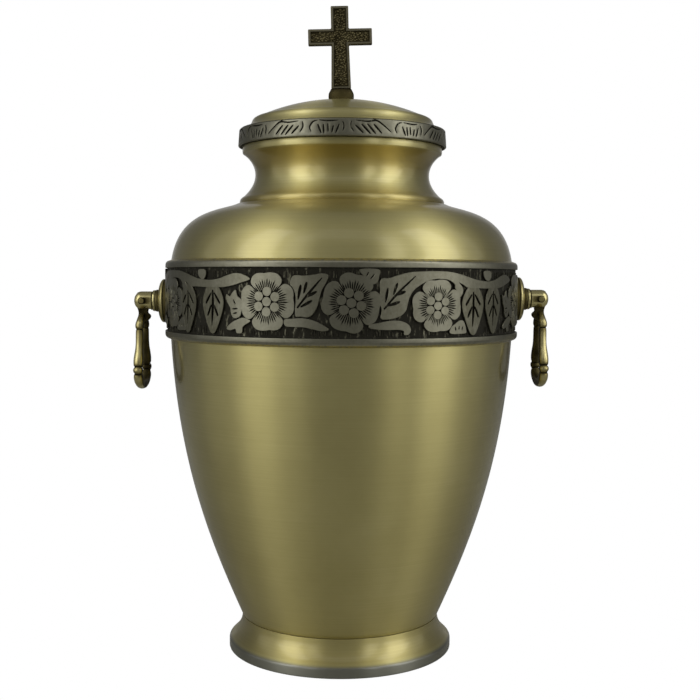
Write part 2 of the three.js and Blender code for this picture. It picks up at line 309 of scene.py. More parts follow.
def plate(outline, cuts=(), top=BAND_FACE, base=BAND_GROUND - 0.2, ease=0.14, edge=None, steps=1,
          both=False, open_ends=False):
    """A flat plate with eased edges and lines cut through it: points (along, up, out), faces, recess.

    The outer edge may have its own easing; both eases the back as well; open_ends leaves the
    two ends without a wall, so that plates can be joined end to end.
    """
    spots, kept, outer = filled(outline, cuts)
    directed = {(t[i], t[(i + 1) % 3]) for t in kept for i in range(3)}
    border = [(a, b) for a, b in sorted(directed) if (b, a) not in directed]
    if open_ends:
        low_x, high_x = min(p[0] for p in outline), max(p[0] for p in outline)
        border = [(a, b) for a, b in border if abs(spots[a].x - spots[b].x) > 1e-4
                  or low_x + 1e-4 < spots[a].x < high_x - 1e-4]
    outward = {}
    for a, b in border:
        along = (spots[b] - spots[a]).normalized()
        for i in (a, b):
            outward[i] = outward.get(i, Vector((0, 0))) + Vector((along.y, -along.x))
    levels = []
    for step in range(1, steps + 1):
        angle = 0.5 * math.pi * step / steps
        levels.append((math.sin(angle), top, math.cos(angle) - 1, EASED_SHADE * step / steps))
    if both:
        levels += [(1.0, base, 1.0, EASED_SHADE), (0.0, base, 0.0, 0.0)]
    else:
        levels.append((1.0 if edge else WALL_FLARE, base, 0.0, 1.0))
    points = [(p.x, p.y, top) for p in spots]
    tone_and_shade = [0.0] * len(points)
    faces = [tuple(t) for t in kept]
    last = {i: i for i in outward}
    for spread, level, drop, shade in levels:
        ring = {}
        for i, push in outward.items():
            size = edge if edge and i in outer else ease
            shift = push.normalized() * spread * size
            ring[i] = len(points)
            points.append((spots[i].x + shift.x, spots[i].y + shift.y, level + drop * size))
            tone_and_shade.append(0.0 if edge and i in outer else shade)
        faces += [(last[b], last[a], ring[a], ring[b]) for a, b in border]
        last = ring
    foot = {}
    for i, p in enumerate(spots):
        foot[i] = last.get(i, len(points))
        if i not in last:
            points.append((p.x, p.y, base))
            tone_and_shade.append(0.0 if both else 1.0)
    faces += [tuple(foot[i] for i in reversed(t)) for t in kept]
    return points, faces, tone_and_shade


def wrapped(shape, radius, start=0.0, squeeze=1.0):
    """Bends a flat plate around the urn's axis; its place at start comes to the front."""
    points, faces, tone_and_shade = shape
    bent = []
    for along, up, out in points:
        angle = (along - start) * squeeze / radius
        bent.append((out * math.sin(angle), -out * math.cos(angle), up))
    return bent, faces, tone_and_shade


def joined(shapes):
    points, faces, tone_and_shade = [], [], []
    for shape in shapes:
        first = len(points)
        points += shape[0]
        faces += [tuple(first + i for i in face) for face in shape[1]]
        tone_and_shade += shape[2]
    return points, faces, tone_and_shade


# Nodes

def srgb(code):
    parts = [int(code[i:i + 2], 16) / 255 for i in (1, 3, 5)]
    return tuple(c / 12.92 if c <= 0.04045 else ((c + 0.055) / 1.055) ** 2.4 for c in parts) + (1.0,)


def add_node(tree, kind, inputs=None, stops=(), **settings):
    """Adds a node with its settings, its inputs, linked or set, and the stops of a colour ramp.

    An input is named, or numbered where names repeat: Math's numbers from 0; in Map Range 1 and 2
    are the span read, 3 and 4 the span given; in Mix 0 is the share, 6 and 7 the two colours.
    """
    node = tree.nodes.new(kind)
    for name, value in settings.items():
        setattr(node, name, value)
    for key, value in (inputs or {}).items():
        socket = node.inputs[key]
        if isinstance(value, bpy.types.NodeSocket):
            tree.links.new(value, socket)
        else:
            socket.default_value = value
    for index, (place, code) in enumerate(stops):
        elements = node.color_ramp.elements
        element = elements[index] if index < 2 else elements.new(place)
        element.position, element.color = place, srgb(code)
    return node


def new_material(name):
    material = bpy.data.materials.new(name)
    material.use_nodes = True
    tree = material.node_tree
    tree.nodes.clear()
    return material, tree


# Spun sheet brass, brushed while it turned on the lathe, toned olive and sealed with clear lacquer:
# a satin sheen drawn out up and down the profile, faint rings around it, slow cloudy changes of tone,
# and in the lacquer soft images of what stands near. Real brush lines are about 0.1 mm apart; they
# are drawn at 0.4 mm so that they show. A value above zero tints the brass warmer and darker: painted
# shade where the shoulder meets the neck and under the neck's lip, and a tone towards the foot. Below
# zero is the grey plate on the foot's rim.
BRUSH_SPACING = 0.4
BRUSH_LENGTH = 71.43
BRASS_CLOUD = 45.0


def spun_brass():
    material, tree = new_material("spun_brass_satin")
    place = add_node(tree, "ShaderNodeTexCoord")
    spot = add_node(tree, "ShaderNodeSeparateXYZ", {"Vector": place.outputs["Object"]})
    sheet = add_node(tree, "ShaderNodeUVMap", uv_map="UVMap")
    run = add_node(tree, "ShaderNodeSeparateXYZ", {"Vector": sheet.outputs["UV"]})
    lines_at = add_node(tree, "ShaderNodeCombineXYZ")
    for axis, source, size in (("X", spot.outputs["X"], BRUSH_LENGTH),
                               ("Y", spot.outputs["Y"], BRUSH_LENGTH),
                               ("Z", run.outputs["Y"], BRUSH_SPACING)):
        scaled = add_node(tree, "ShaderNodeMath", {0: source, 1: 1 / (size * MM)}, operation="MULTIPLY")
        tree.links.new(scaled.outputs["Value"], lines_at.inputs[axis])
    lines = add_node(tree, "ShaderNodeTexNoise", {
        "Vector": lines_at.outputs["Vector"], "Scale": 1.0, "Detail": 3.0, "Roughness": 0.6})
    cloud = add_node(tree, "ShaderNodeTexNoise", {
        "Vector": place.outputs["Object"], "Scale": 1 / (BRASS_CLOUD * MM), "Detail": 4.0,
        "Roughness": 0.55})
    tone = add_node(tree, "ShaderNodeMath", {0: lines.outputs["Fac"], 1: 0.26, 2: 0.1},
                    operation="MULTIPLY_ADD")
    tone = add_node(tree, "ShaderNodeMath", {0: cloud.outputs["Fac"], 1: 0.54, 2: tone.outputs["Value"]},
                    operation="MULTIPLY_ADD")
    metal = add_node(tree, "ShaderNodeValToRGB", {"Fac": tone.outputs["Value"]},
                     stops=((0.3, "#b7ac71"), (0.5, "#c4ba7d"), (0.7, "#d2c88c")))
    color = metal.outputs["Color"]
    finish = add_node(tree, "ShaderNodeAttribute", attribute_name="tone_and_shade")
    # Above zero: a warm, darker tint, painted shade by the neck and a tone by the foot; below zero: grey
    # plate
    for full, tint in ((1.0, "#b09848"), (-1.0, "#8b8b7f")):
        amount = add_node(tree, "ShaderNodeMapRange", {
            "Value": finish.outputs["Fac"], 1: 0.0, 2: full, 3: 0.0, 4: 1.0})
        mixed = add_node(tree, "ShaderNodeMix", {0: amount.outputs["Result"], 6: color, 7: srgb(tint)},
                         data_type="RGBA")
        color = mixed.outputs[2]
    rough = add_node(tree, "ShaderNodeMapRange", {
        "Value": tone.outputs["Value"], 1: 0.3, 2: 0.7, 3: 0.45, 4: 0.39})
    bump = add_node(tree, "ShaderNodeBump", {
        "Height": lines.outputs["Fac"], "Strength": 0.09, "Distance": 0.02 * MM})
    around = add_node(tree, "ShaderNodeTangent", direction_type="RADIAL", axis="Z")
    shader = add_node(tree, "ShaderNodeBsdfPrincipled", {
        "Base Color": color, "Metallic": 1.0, "Roughness": rough.outputs["Result"],
        "Normal": bump.outputs["Normal"], "Anisotropic": 0.88, "Anisotropic Rotation": 0.25,
        "Tangent": around.outputs["Tangent"], "Coat Weight": 0.7, "Coat Roughness": 0.12})
    add_node(tree, "ShaderNodeOutputMaterial", {"Surface": shader.outputs["BSDF"]})
    return material


# Pewter plate over brass, blackened and then rubbed back: grey satin metal on whatever stands proud,
# dull black oxide left in the cuts and on the sunken ground, where upright scraps of grey show
# through, and fine rubbing marks on the tops. Recess below zero is rubbed through to the brass.
RUB_GRAIN = 1.6
PEWTER_CLOUD = 10.0
SCRAP_WIDTH = 1.3
SCRAP_STRETCH = 0.3


def antique_pewter():
    material, tree = new_material("antique_pewter_plate")
    place = add_node(tree, "ShaderNodeTexCoord")
    depth = add_node(tree, "ShaderNodeAttribute", attribute_name="tone_and_shade")
    grain = add_node(tree, "ShaderNodeTexNoise", {
        "Vector": place.outputs["Object"], "Scale": 1 / (RUB_GRAIN * MM), "Detail": 4.0, "Roughness": 0.65})
    cloud = add_node(tree, "ShaderNodeTexNoise", {
        "Vector": place.outputs["Object"], "Scale": 1 / (PEWTER_CLOUD * MM), "Detail": 3.0})
    upright = add_node(tree, "ShaderNodeMapping", {
        "Vector": place.outputs["Object"], "Scale": (1.0, 1.0, SCRAP_STRETCH)})
    patches = add_node(tree, "ShaderNodeTexNoise", {
        "Vector": upright.outputs["Vector"], "Scale": 1 / (SCRAP_WIDTH * MM), "Detail": 3.0,
        "Roughness": 0.6})
    scraps = add_node(tree, "ShaderNodeMapRange", {
        "Value": patches.outputs["Fac"], 1: 0.47, 2: 0.66, 3: 0.0, 4: -0.9})
    wear = depth.outputs["Fac"]
    for mark, amount in ((grain.outputs["Fac"], 0.22), (cloud.outputs["Fac"], 0.18),
                         (scraps.outputs["Result"], depth.outputs["Fac"])):
        worn = add_node(tree, "ShaderNodeMath", {0: mark, 1: amount, 2: wear}, operation="MULTIPLY_ADD")
        wear = worn.outputs["Value"]
    level = add_node(tree, "ShaderNodeMapRange", {"Value": wear, 1: -1.0, 2: 1.0, 3: 0.0, 4: 1.0})
    color = add_node(tree, "ShaderNodeValToRGB", {"Fac": level.outputs["Result"]},
                     stops=((0.1, "#b9ad76"), (0.46, "#94907d"), (0.56, "#898777"), (0.66, "#6d6b5a"),
                            (0.8, "#38362d"), (0.97, "#2a281f")))
    metal = add_node(tree, "ShaderNodeMapRange", {"Value": wear, 1: 0.35, 2: 1.0, 3: 1.0, 4: 0.75})
    rough = add_node(tree, "ShaderNodeMapRange", {"Value": wear, 1: 0.1, 2: 0.9, 3: 0.3, 4: 0.7})
    bump = add_node(tree, "ShaderNodeBump", {
        "Height": grain.outputs["Fac"], "Strength": 0.15, "Distance": 0.06 * MM})
    shader = add_node(tree, "ShaderNodeBsdfPrincipled", {
        "Base Color": color.outputs["Color"], "Metallic": metal.outputs["Result"],
        "Roughness": rough.outputs["Result"], "Normal": bump.outputs["Normal"]})
    add_node(tree, "ShaderNodeOutputMaterial", {"Surface": shader.outputs["BSDF"]})
    return material


# Small brass castings, turned or filed, browned and rubbed back: warm brass on the rounds and
# brown-black in grooves and joints, where the dark is browning and painted shade together
CAST_GRAIN = 7.0


def browned_brass(name, light, middle, dark, roughness):
    material, tree = new_material(name)
    place = add_node(tree, "ShaderNodeTexCoord")
    depth = add_node(tree, "ShaderNodeAttribute", attribute_name="tone_and_shade")
    grain = add_node(tree, "ShaderNodeTexNoise", {
        "Vector": place.outputs["Object"], "Scale": 1 / (CAST_GRAIN * MM), "Detail": 1.5, "Roughness": 0.5})
    wear = add_node(tree, "ShaderNodeMath", {0: grain.outputs["Fac"], 1: 0.4, 2: depth.outputs["Fac"]},
                    operation="MULTIPLY_ADD")
    color = add_node(tree, "ShaderNodeValToRGB", {"Fac": wear.outputs["Value"]},
                     stops=((0.12, light), (0.34, middle), (0.9, dark)))
    rough = add_node(tree, "ShaderNodeMapRange", {
        "Value": wear.outputs["Value"], 1: 0.1, 2: 0.9, 3: roughness, 4: 0.7})
    bump = add_node(tree, "ShaderNodeBump", {
        "Height": grain.outputs["Fac"], "Strength": 0.06, "Distance": 0.1 * MM})
    shader = add_node(tree, "ShaderNodeBsdfPrincipled", {
        "Base Color": color.outputs["Color"], "Metallic": 1.0, "Roughness": rough.outputs["Result"],
        "Normal": bump.outputs["Normal"]})
    add_node(tree, "ShaderNodeOutputMaterial", {"Surface": shader.outputs["BSDF"]})
    return material


BRASS = spun_brass()
PEWTER = antique_pewter()
AGED_BRASS = browned_brass("cast_brass_browned", "#cfc48d", "#8f8456", "#211b0e", 0.26)
BRONZE = browned_brass("cast_bronze_patina", "#85806a", "#6f674a", "#2c2718", 0.36)


# Copies of pieces

def new_tree(name, **inputs):
    """A node tree that takes a mesh and the named inputs, each of the kind given; and its input node."""
    tree = bpy.data.node_groups.new(name, "GeometryNodeTree")
    tree.interface.new_socket("Geometry", in_out="INPUT", socket_type="NodeSocketGeometry")
    for title, kind in inputs.items():
        tree.interface.new_socket(title, in_out="INPUT", socket_type="NodeSocket" + kind)
    tree.interface.new_socket("Geometry", in_out="OUTPUT", socket_type="NodeSocketGeometry")
    return tree, add_node(tree, "NodeGroupInput")


def end_tree(tree, copies, finish):
    """Makes the copies real, gives them their material, and ends the tree."""
    real = add_node(tree, "GeometryNodeRealizeInstances", {"Geometry": copies.outputs["Instances"]})
    coated = add_node(tree, "GeometryNodeSetMaterial", {
        "Geometry": real.outputs["Geometry"], "Material": finish})
    add_node(tree, "NodeGroupOutput", {"Geometry": coated.outputs["Geometry"]})


def copies_tree():
    """One piece turned about the urn's axis for each point, by the point's own turn and a jitter."""
    tree, start = new_tree("copies_around_axis", Motif="Object", Finish="Material", Jitter="Float",
                           Seed="Int")
    turn = add_node(tree, "GeometryNodeInputNamedAttribute", {"Name": "turn"}, data_type="FLOAT")
    low = add_node(tree, "ShaderNodeMath", {0: start.outputs["Jitter"], 1: -1.0}, operation="MULTIPLY")
    shake = add_node(tree, "FunctionNodeRandomValue", {
        2: low.outputs["Value"], 3: start.outputs["Jitter"], "Seed": start.outputs["Seed"]},
        data_type="FLOAT")
    total = add_node(tree, "ShaderNodeMath", {0: turn.outputs["Attribute"], 1: shake.outputs[1]},
                     operation="ADD")
    angles = add_node(tree, "ShaderNodeCombineXYZ", {"Z": total.outputs["Value"]})
    motif = add_node(tree, "GeometryNodeObjectInfo", {"Object": start.outputs["Motif"]})
    copies = add_node(tree, "GeometryNodeInstanceOnPoints", {
        "Points": start.outputs["Geometry"], "Instance": motif.outputs["Geometry"],
        "Rotation": angles.outputs["Vector"]})
    end_tree(tree, copies, start.outputs["Finish"])
    return tree


def grains_tree():
    """Grains scattered over a face, each turned and sized at random."""
    tree, start = new_tree("grains_on_face", Grain="Object", Finish="Material", Spacing="Float",
                           Smallest="Float", Largest="Float", Seed="Int")
    spots = add_node(tree, "GeometryNodeDistributePointsOnFaces", {
        "Mesh": start.outputs["Geometry"], "Distance Min": start.outputs["Spacing"],
        "Density Max": 8e6, "Seed": start.outputs["Seed"]}, distribute_method="POISSON")
    size = add_node(tree, "FunctionNodeRandomValue", {
        2: start.outputs["Smallest"], 3: start.outputs["Largest"], "Seed": 3}, data_type="FLOAT")
    turn = add_node(tree, "FunctionNodeRandomValue", {2: 0.0, 3: 2 * math.pi, "Seed": 5},
                    data_type="FLOAT")
    angles = add_node(tree, "ShaderNodeCombineXYZ", {"Y": turn.outputs[1]})
    grain = add_node(tree, "GeometryNodeObjectInfo", {"Object": start.outputs["Grain"]})
    copies = add_node(tree, "GeometryNodeInstanceOnPoints", {
        "Points": spots.outputs["Points"], "Instance": grain.outputs["Geometry"],
        "Rotation": angles.outputs["Vector"], "Scale": size.outputs[1]})
    end_tree(tree, copies, start.outputs["Finish"])
    return tree


COPIES = copies_tree()


def run_tree(name, tree, source, inputs):
    """Runs a node tree on a mesh and keeps the result as a plain mesh."""
    carrier = bpy.data.objects.new(name + "_carrier", source)
    bpy.context.collection.objects.link(carrier)
    modifier = carrier.modifiers.new("nodes", "NODES")
    modifier.node_group = tree
    for item in tree.interface.items_tree:
        if item.item_type == "SOCKET" and item.in_out == "INPUT" and item.name in inputs:
            modifier[item.identifier] = inputs[item.name]
    graph = bpy.context.evaluated_depsgraph_get()
    mesh = bpy.data.meshes.new_from_object(carrier.evaluated_get(graph))
    mesh.name = name
    bpy.data.objects.remove(carrier)
    return mesh


def copied_around(name, shape, turns, material, jitter=0.0, seed=0):
    motif = make_object(name + "_motif", *shape[:2], material, shape[2])
    points = bpy.data.meshes.new(name + "_points")
    points.from_pydata([(0, 0, 0)] * len(turns), [], [])
    layer = points.attributes.new("turn", "FLOAT", "POINT")
    layer.data.foreach_set("value", [math.radians(turn) for turn in turns])
    mesh = run_tree(name, COPIES, points,
                    {"Motif": motif, "Finish": material, "Jitter": math.radians(jitter), "Seed": seed})
    bpy.data.objects.remove(motif)
    return mesh


def joined_object(name, meshes, material, sharp=SHARP_ANGLE):
    """One object of several finished meshes, with their recess values."""
    points, faces, tone_and_shade = [], [], []
    for mesh in meshes:
        first = len(points)
        points += [vertex.co / MM for vertex in mesh.vertices]
        faces += [tuple(first + i for i in polygon.vertices) for polygon in mesh.polygons]
        layer = mesh.attributes["tone_and_shade"]
        tone_and_shade += [item.value for item in layer.data]
    return make_object(name, points, faces, material, tone_and_shade, sharp=sharp)


# Foot: upright rim, rolled edge, cove up to the crease; open below
foot_profile = rounded([
    (52.6, 0.0, 0), (55.5, 0.0, 0.8), (55.5, 4.7, 0.7), (54.6, 5.5, 0.5),
    (52.0, 8.0, 2.0), (50.2, 10.8, 2.0), (49.2, 13.6, 2.0), (48.9, FOOT_TOP, 0),
    (46.6, FOOT_TOP, 0), (47.6, 12.0, 1.0), (49.6, 8.4, 1.0), (52.6, 5.2, 1.0)])


def foot_finish(radius, height):
    return WARM_FOOT - (1 + WARM_FOOT) * share(height, *GREY_RIM_SPAN)


foot = turned("foot_spun", foot_profile, BRASS, foot_finish)
finish_piece(foot, "urn", "brass", "foot")

# Body: flat bottom, swelling belly, seat under the band, round shoulder, mouth
belly = bezier((49.1, FOOT_TOP + 0.5), (65.2, 53.8), (80.35, 91.9), (BAND_SEAT, BAND_BOTTOM), 64)
shoulder = bezier((83.7, BAND_TOP), (79.8, 217.3), (59.2, 216.1), (51.9, NECK_FOOT - 0.1), 48)
body_profile = ([(0, FOOT_TOP), (48.2, FOOT_TOP)] + belly + [(BAND_SEAT, BAND_TOP - 0.6)] + shoulder
                + [(51.0, NECK_FOOT), (44.5, NECK_FOOT), (44.5, NECK_FOOT - WALL)]
                + inside_of(shoulder[::3], WALL)[::-1] + inside_of(belly[::3], WALL)[:0:-1]
                + [(47.4, FOOT_TOP + WALL), (0, FOOT_TOP + WALL)])


# Warm painted shade on the shoulder where it meets the neck; a warmer, darker tone towards the foot
def body_tone_and_shade(radius, height):
    near_foot = share(height, BAND_BOTTOM, FOOT_TOP)
    return SHOULDER_WARM_SHADE * share(height, *SHOULDER_SPAN) + WARM_FOOT * near_foot


body = turned("body_spun", body_profile, BRASS, body_tone_and_shade)
finish_piece(body, "urn", "brass", "body")

# Neck: rolled foot, waist and rolled lip
waist = bezier((48.3, 223.7), (37.5, 234.0), (45.5, 242.6), (48.6, 244.4), 40)
neck_lip = rounded([(48.6, 244.4, 0), (49.0, 244.7, 0.3), (49.2, 246.1, 0.7), (49.0, LID_REST, 0)])
neck_roll = rounded([
    (46.6, NECK_FOOT, 0), (50.3, NECK_FOOT, 0.2), (50.5, 221.4, 0.8), (49.9, 222.6, 0.9), (48.3, 223.7, 0)])
neck_profile = (neck_roll + waist[1:] + neck_lip[1:] + [(47.6, LID_REST)]
                + inside_of(waist[::2], WALL)[-2::-1])


# Warm painted shade below the neck's lip, and at its foot where it meets the shoulder
def neck_tone_and_shade(radius, height):
    upper = share(height, *HIGH_NECK_SPAN) * max(0.15, share(height, *NECK_LIP_SPAN))
    return NECK_WARM_SHADE * upper + SHOULDER_WARM_SHADE * share(height, *LOW_NECK_SPAN)


neck = turned("neck_spun", neck_profile, BRASS, neck_tone_and_shade)
finish_piece(neck, "urn", "brass", "neck")

# Lid: cove over the rim, rounded step, low dome; hollow, with a locating skirt
DOME_RADIUS = 40.6
DOME_RINGS = 40
SKIRT_DROP = 4.0


def dome_spot(radius):
    return radius, DOME_TOP - DOME_SPHERE + math.sqrt(DOME_SPHERE ** 2 - radius ** 2)


dome = [dome_spot(DOME_RADIUS * (1 - i / DOME_RINGS)) for i in range(DOME_RINGS + 1)]
lid_edge = rounded([
    (42.0, LID_REST - SKIRT_DROP, 0), (44.2, LID_REST - SKIRT_DROP, 0.4), (44.2, LID_REST, 0),
    (46.8, LID_REST, 0), (46.8, LID_RIM_TOP, 0), (50.0, LID_RIM_TOP, 0), (48.9, 256.6, 0.5),
    (46.4, 257.3, 1.2), (44.9, 259.0, 1.2), (44.2, 261.0, 0.8), (42.9, 261.9, 0.7), dome[0] + (0,)])
dome[-1] = (0, DOME_TOP)
lid_inside = [(0, DOME_TOP - WALL)] + inside_of(dome[6:-2:3], WALL)[::-1] + [(42.0, 258.6)]
lid = turned("lid_spun", lid_edge + dome[1:] + lid_inside, BRASS)
finish_piece(lid, "urn", "brass", "lid")


# Band: belt with a rounded lower rim and a flat upper rim around the sunken ground
RUBBED_ABOVE = 190.7
RUBBED_BELOW = 156.0
RUBBED_SPAN = 1.2


def band_recess(radius, height):
    """Dark on the ground, grey on the rims, and below zero where the rims are rubbed to brass."""
    if GROUND_LOW - 0.2 < height < GROUND_HIGH + 0.2 and radius < BAND_GROUND + 0.5:
        return 1.0
    edge = max(height - RUBBED_ABOVE, RUBBED_BELOW - height, 0.0)
    return -min(edge / RUBBED_SPAN, 1.0)


belt_profile = rounded([
    (BAND_SEAT - 0.3, 154.2, 0), (84.8, 154.5, 0.3), (86.1, 155.1, 0.5), (86.7, 156.1, 0.6),
    (86.7, GROUND_LOW - 0.3, 0.25), (BAND_GROUND, GROUND_LOW, 0.1), (BAND_GROUND, GROUND_HIGH, 0.1),
    (86.6, GROUND_HIGH + 0.3, 0.25), (86.5, 190.7, 0.6), (85.8, 191.7, 0.5), (84.3, 192.2, 0.3),
    (BAND_SEAT - 0.6, 192.6, 0)])
belt = turned("belt", belt_profile, PEWTER, band_recess)

# Flowers: a petal's outline from the flower's middle, along the band and outwards, the ring of
# seeds, and the strokes cut in from the petal's inner edge
PETAL_EDGE = ((-3.65, 3.98), (-5.3, 5.75), (-6.75, 7.25), (-7.3, 8.8), (-6.7, 10.5), (-5.1, 11.9),
              (-3.0, 12.35), (-0.8, 12.15), (1.2, 12.4), (3.4, 12.3), (5.3, 11.7), (6.8, 10.2),
              (7.3, 8.6), (6.75, 7.25), (5.3, 5.75), (3.65, 3.98))
PETAL_ROOT = 5.4
PETAL_SPREAD = 87
SEED_RING = 4.4
SEED_RADIUS = 2.02
STROKE_COUNT = 12
STROKE_REACH = 9.0
STROKE_TIP = 1.6


def petal(turn, size, wide):
    """One broad petal; dark strokes of uneven length run out from its inner edge."""
    edge = smooth([(x * wide, y * size) for x, y in PETAL_EDGE], 0.6, False)
    inner = []
    for stroke in range(STROKE_COUNT):
        lean = math.radians(PETAL_SPREAD * (0.5 - (stroke + 0.5) / STROKE_COUNT))
        uneven = 0.5 * math.sin(2.3 * stroke + 1.7 * turn)
        reach = STROKE_REACH + uneven + 0.9 * math.cos(2.2 * lean)
        for side, out in ((0.05, PETAL_ROOT), (0.04, reach - STROKE_TIP), (0.0, reach),
                          (-0.04, reach - STROKE_TIP), (-0.05, PETAL_ROOT)):
            inner.append((size * out * math.sin(lean + side), size * out * math.cos(lean + side)))
    return edge + inner


def spun_about(loop, turn, middle):
    cosine, sine = math.cos(math.radians(turn)), math.sin(math.radians(turn))
    return [(middle[0] + x * cosine - y * sine, middle[1] + x * sine + y * cosine) for x, y in loop]


def circle(middle, radius, squash=1.0, count=18):
    return [(middle[0] + radius * math.cos(2 * math.pi * i / count),
             middle[1] + squash * radius * math.sin(2 * math.pi * i / count)) for i in range(count)]


def flower(middle, squash, lean):
    """Four petals around a cluster of seven seeds."""
    shapes = []
    for quarter in range(4):
        wide = 1.0 if quarter % 2 == 0 else squash
        loop = petal(quarter + lean, 1.0 if quarter % 2 else squash, wide)
        shapes.append(plate(spun_about(loop, 90 * quarter + lean, middle), ease=0.09))
    seeds = [(0.0, 0.0)]
    for i in range(6):
        angle = math.radians(60 * i + lean)
        seeds.append((SEED_RING * math.sin(angle), SEED_RING * squash * math.cos(angle)))
    for along, up in seeds:
        loop = circle((middle[0] + along, middle[1] + up), SEED_RADIUS, squash)
        shapes.append(plate(loop, top=BAND_FACE + 0.06, ease=0.1))
    return shapes


def darkened(shape, least):
    return shape[0], shape[1], [max(shade, least) for shade in shape[2]]


# Half of the hanging leaf, its midrib, and its side veins from inner to outer end
LEAF_HALF = ((0.0, 8.2), (2.6, 7.4), (4.4, 6.0), (6.4, 2.8), (7.1, -0.2), (6.5, -3.4), (5.2, -6.6),
             (3.6, -10.0), (1.3, -13.4))
LEAF_MIDRIB = ((0.0, 5.4), (0.1, -1.5), (-0.5, -10.4))
LEAF_VEINS = (((0.9, 4.2), (4.9, -0.7)), ((0.9, -1.2), (3.6, -6.1)))


def hanging_leaf(height, wide):
    """A pointed leaf that hangs tip down, with its midrib and two pairs of side veins cut in."""
    loop = [(wide * x, height + y) for x, y in LEAF_HALF]
    loop += [(-wide * x, height + y) for x, y in LEAF_HALF[:0:-1]]
    cuts = [cut_line([(x, height + y) for x, y in LEAF_MIDRIB], 1.7, (0.55, 1.0, 0.2))]
    for side in (-wide, wide):
        for vein in LEAF_VEINS:
            cuts.append(cut_line([(side * x, height + y) for x, y in vein], 1.4, (0.5, 1.0, 0.7)))
    return darkened(plate(smooth(loop), cuts, BAND_FACE - 0.03), 0.12)


def sprig(outline, vein, strokes):
    cuts = [cut_line(vein, 1.15, (0.75, 1.0, 0.4))]
    cuts += [cut_line(stroke, 1.5, (0.4, 1.0, 0.25)) for stroke in strokes]
    return darkened(plate(smooth(outline), cuts), 0.04)


def plain(outline, cuts=()):
    return plate(smooth(outline), cuts)


# Sprigs, leaves and twigs on the flat drawing: place along the band and height of each corner
SPRIG_LEFT = ((-22.2, 181.6), (-21.2, 184.4), (-19.6, 185.1), (-16, 184.9), (-12, 185.3),
              (-8.4, 185.9), (-5.9, 185.2), (-6.4, 182.6), (-8.4, 179), (-9.6, 175), (-10.4, 172),
              (-12.4, 168.6), (-14.6, 167.4), (-17.4, 167.7), (-19.6, 167.7), (-19.9, 170.6),
              (-19.6, 174), (-19.9, 177.4), (-21.0, 180))
SPRIG_LEFT_VEIN = ((-19.0, 171.2), (-14.6, 176.8), (-8.2, 184.2))
SPRIG_LEFT_STROKES = (((-18.7, 174.8), (-17.4, 181.2)), ((-16.2, 177.4), (-14.8, 182.4)),
                      ((-14.6, 176.0), (-10.4, 178.4)), ((-17.6, 171.6), (-12.4, 174.5)))
LOW_LEAF_LEFT = ((-24.6, 166.2), (-21, 166.6), (-17, 166.9), (-13, 166.2), (-9.6, 164.9),
                 (-5.6, 162.3), (-8, 161.5), (-12, 162.3), (-16, 163.1), (-20, 163.2), (-24.2, 163.6))
SPRIG_RIGHT = ((17.0, 167.0), (17.3, 170.4), (16.3, 174.6), (16.6, 178.6), (16.4, 181.6),
               (17.4, 183.9), (20.6, 184.1), (24, 185.2), (30, 186.6), (36, 187.0), (43, 187.2),
               (50, 186.9), (56, 185.9), (61, 184.7), (66, 183.6), (71, 183.0), (76, 182.9),
               (81, 183.6), (86, 185.1), (90.4, 185.9), (94.6, 185.2), (97.6, 183.4), (93, 181.9),
               (88, 180.6), (83, 179.9), (78, 179.8), (72, 179.8), (66, 180.0), (60.6, 180.2),
               (57.4, 181.6), (55.0, 182.4), (57.0, 180.2), (57.2, 177.8), (55.8, 176.2),
               (54.4, 178.4), (52.8, 179.9), (52.6, 181.6), (49.6, 183.4), (44.6, 184.0),
               (40.0, 183.5), (35.6, 181.8), (32.0, 179.4), (29.9, 176.6), (28.8, 173.4),
               (28.0, 170.4), (25.8, 168.2), (22.4, 167.0), (19.4, 166.6))
SPRIG_RIGHT_VEIN = ((18.2, 170.8), (24.2, 177.6), (32.4, 185.0))
SPRIG_RIGHT_STROKES = (((18.9, 173.8), (19.9, 180.0)), ((22.4, 177.0), (24.2, 182.2)),
                       ((23.4, 176.9), (27.9, 178.5)), ((19.8, 172.3), (25.4, 174.1)))
LOW_LEAF_RIGHT = ((12.2, 164.3), (16, 165.0), (20, 165.8), (24, 166.0), (27.4, 165.3), (29.6, 163.9),
                  (30.4, 161.9), (29.4, 160.2), (27.4, 160.0), (27.2, 161.6), (24.6, 162.2),
                  (19, 162.1), (12.4, 162.8))
TOP_SPRIG = ((7.9, 187.7), (15.8, 187.7), (15.9, 184.6), (15.2, 182.4), (13.2, 181.5), (11.4, 182.9),
             (9.4, 185.0))
TOP_SPRIG_STROKES = (((10.6, 184.8), (11.6, 186.8)), ((12.0, 183.2), (14.2, 186.0)))
RAGGED_LEAF = ((-53.6, 176.6), (-51.6, 175.8), (-50.4, 177.2), (-48.6, 178.6), (-47.6, 176.0),
               (-45.6, 174.6), (-44.9, 172.2), (-45.4, 169.4), (-46.4, 167.2), (-49.2, 166.4),
               (-50.8, 168.2), (-51.4, 171.0), (-53.0, 173.4))
RAGGED_CUTS = (((-49.8, 174.6), (-48.6, 172.4)), ((-50.4, 170.4), (-47.2, 170.6)),
               ((-49.8, 168.4), (-47.6, 168.8)))
TWIG = ((-53.2, 162.4), (-50.6, 164.4), (-47.6, 165.8), (-44.8, 166.6), (-42.2, 166.1), (-40.9, 165.2),
        (-43.2, 163.9), (-44.8, 162.6), (-45.2, 160.2), (-47.8, 160.0), (-48.6, 161.8), (-51, 161.2),
        (-53, 161.4))
CORNER_LEAF = ((50.6, 160.2), (50.9, 162.9), (53.0, 164.2), (55.4, 165.6), (57.6, 165.6),
               (59.0, 163.6), (59.6, 161.2), (59.0, 160.1))
CORNER_CUTS = (((53.2, 163.2), (53.3, 161.2)), ((55.4, 163.4), (55.2, 161.6)),
               ((57.4, 163.2), (57.0, 161.4)))
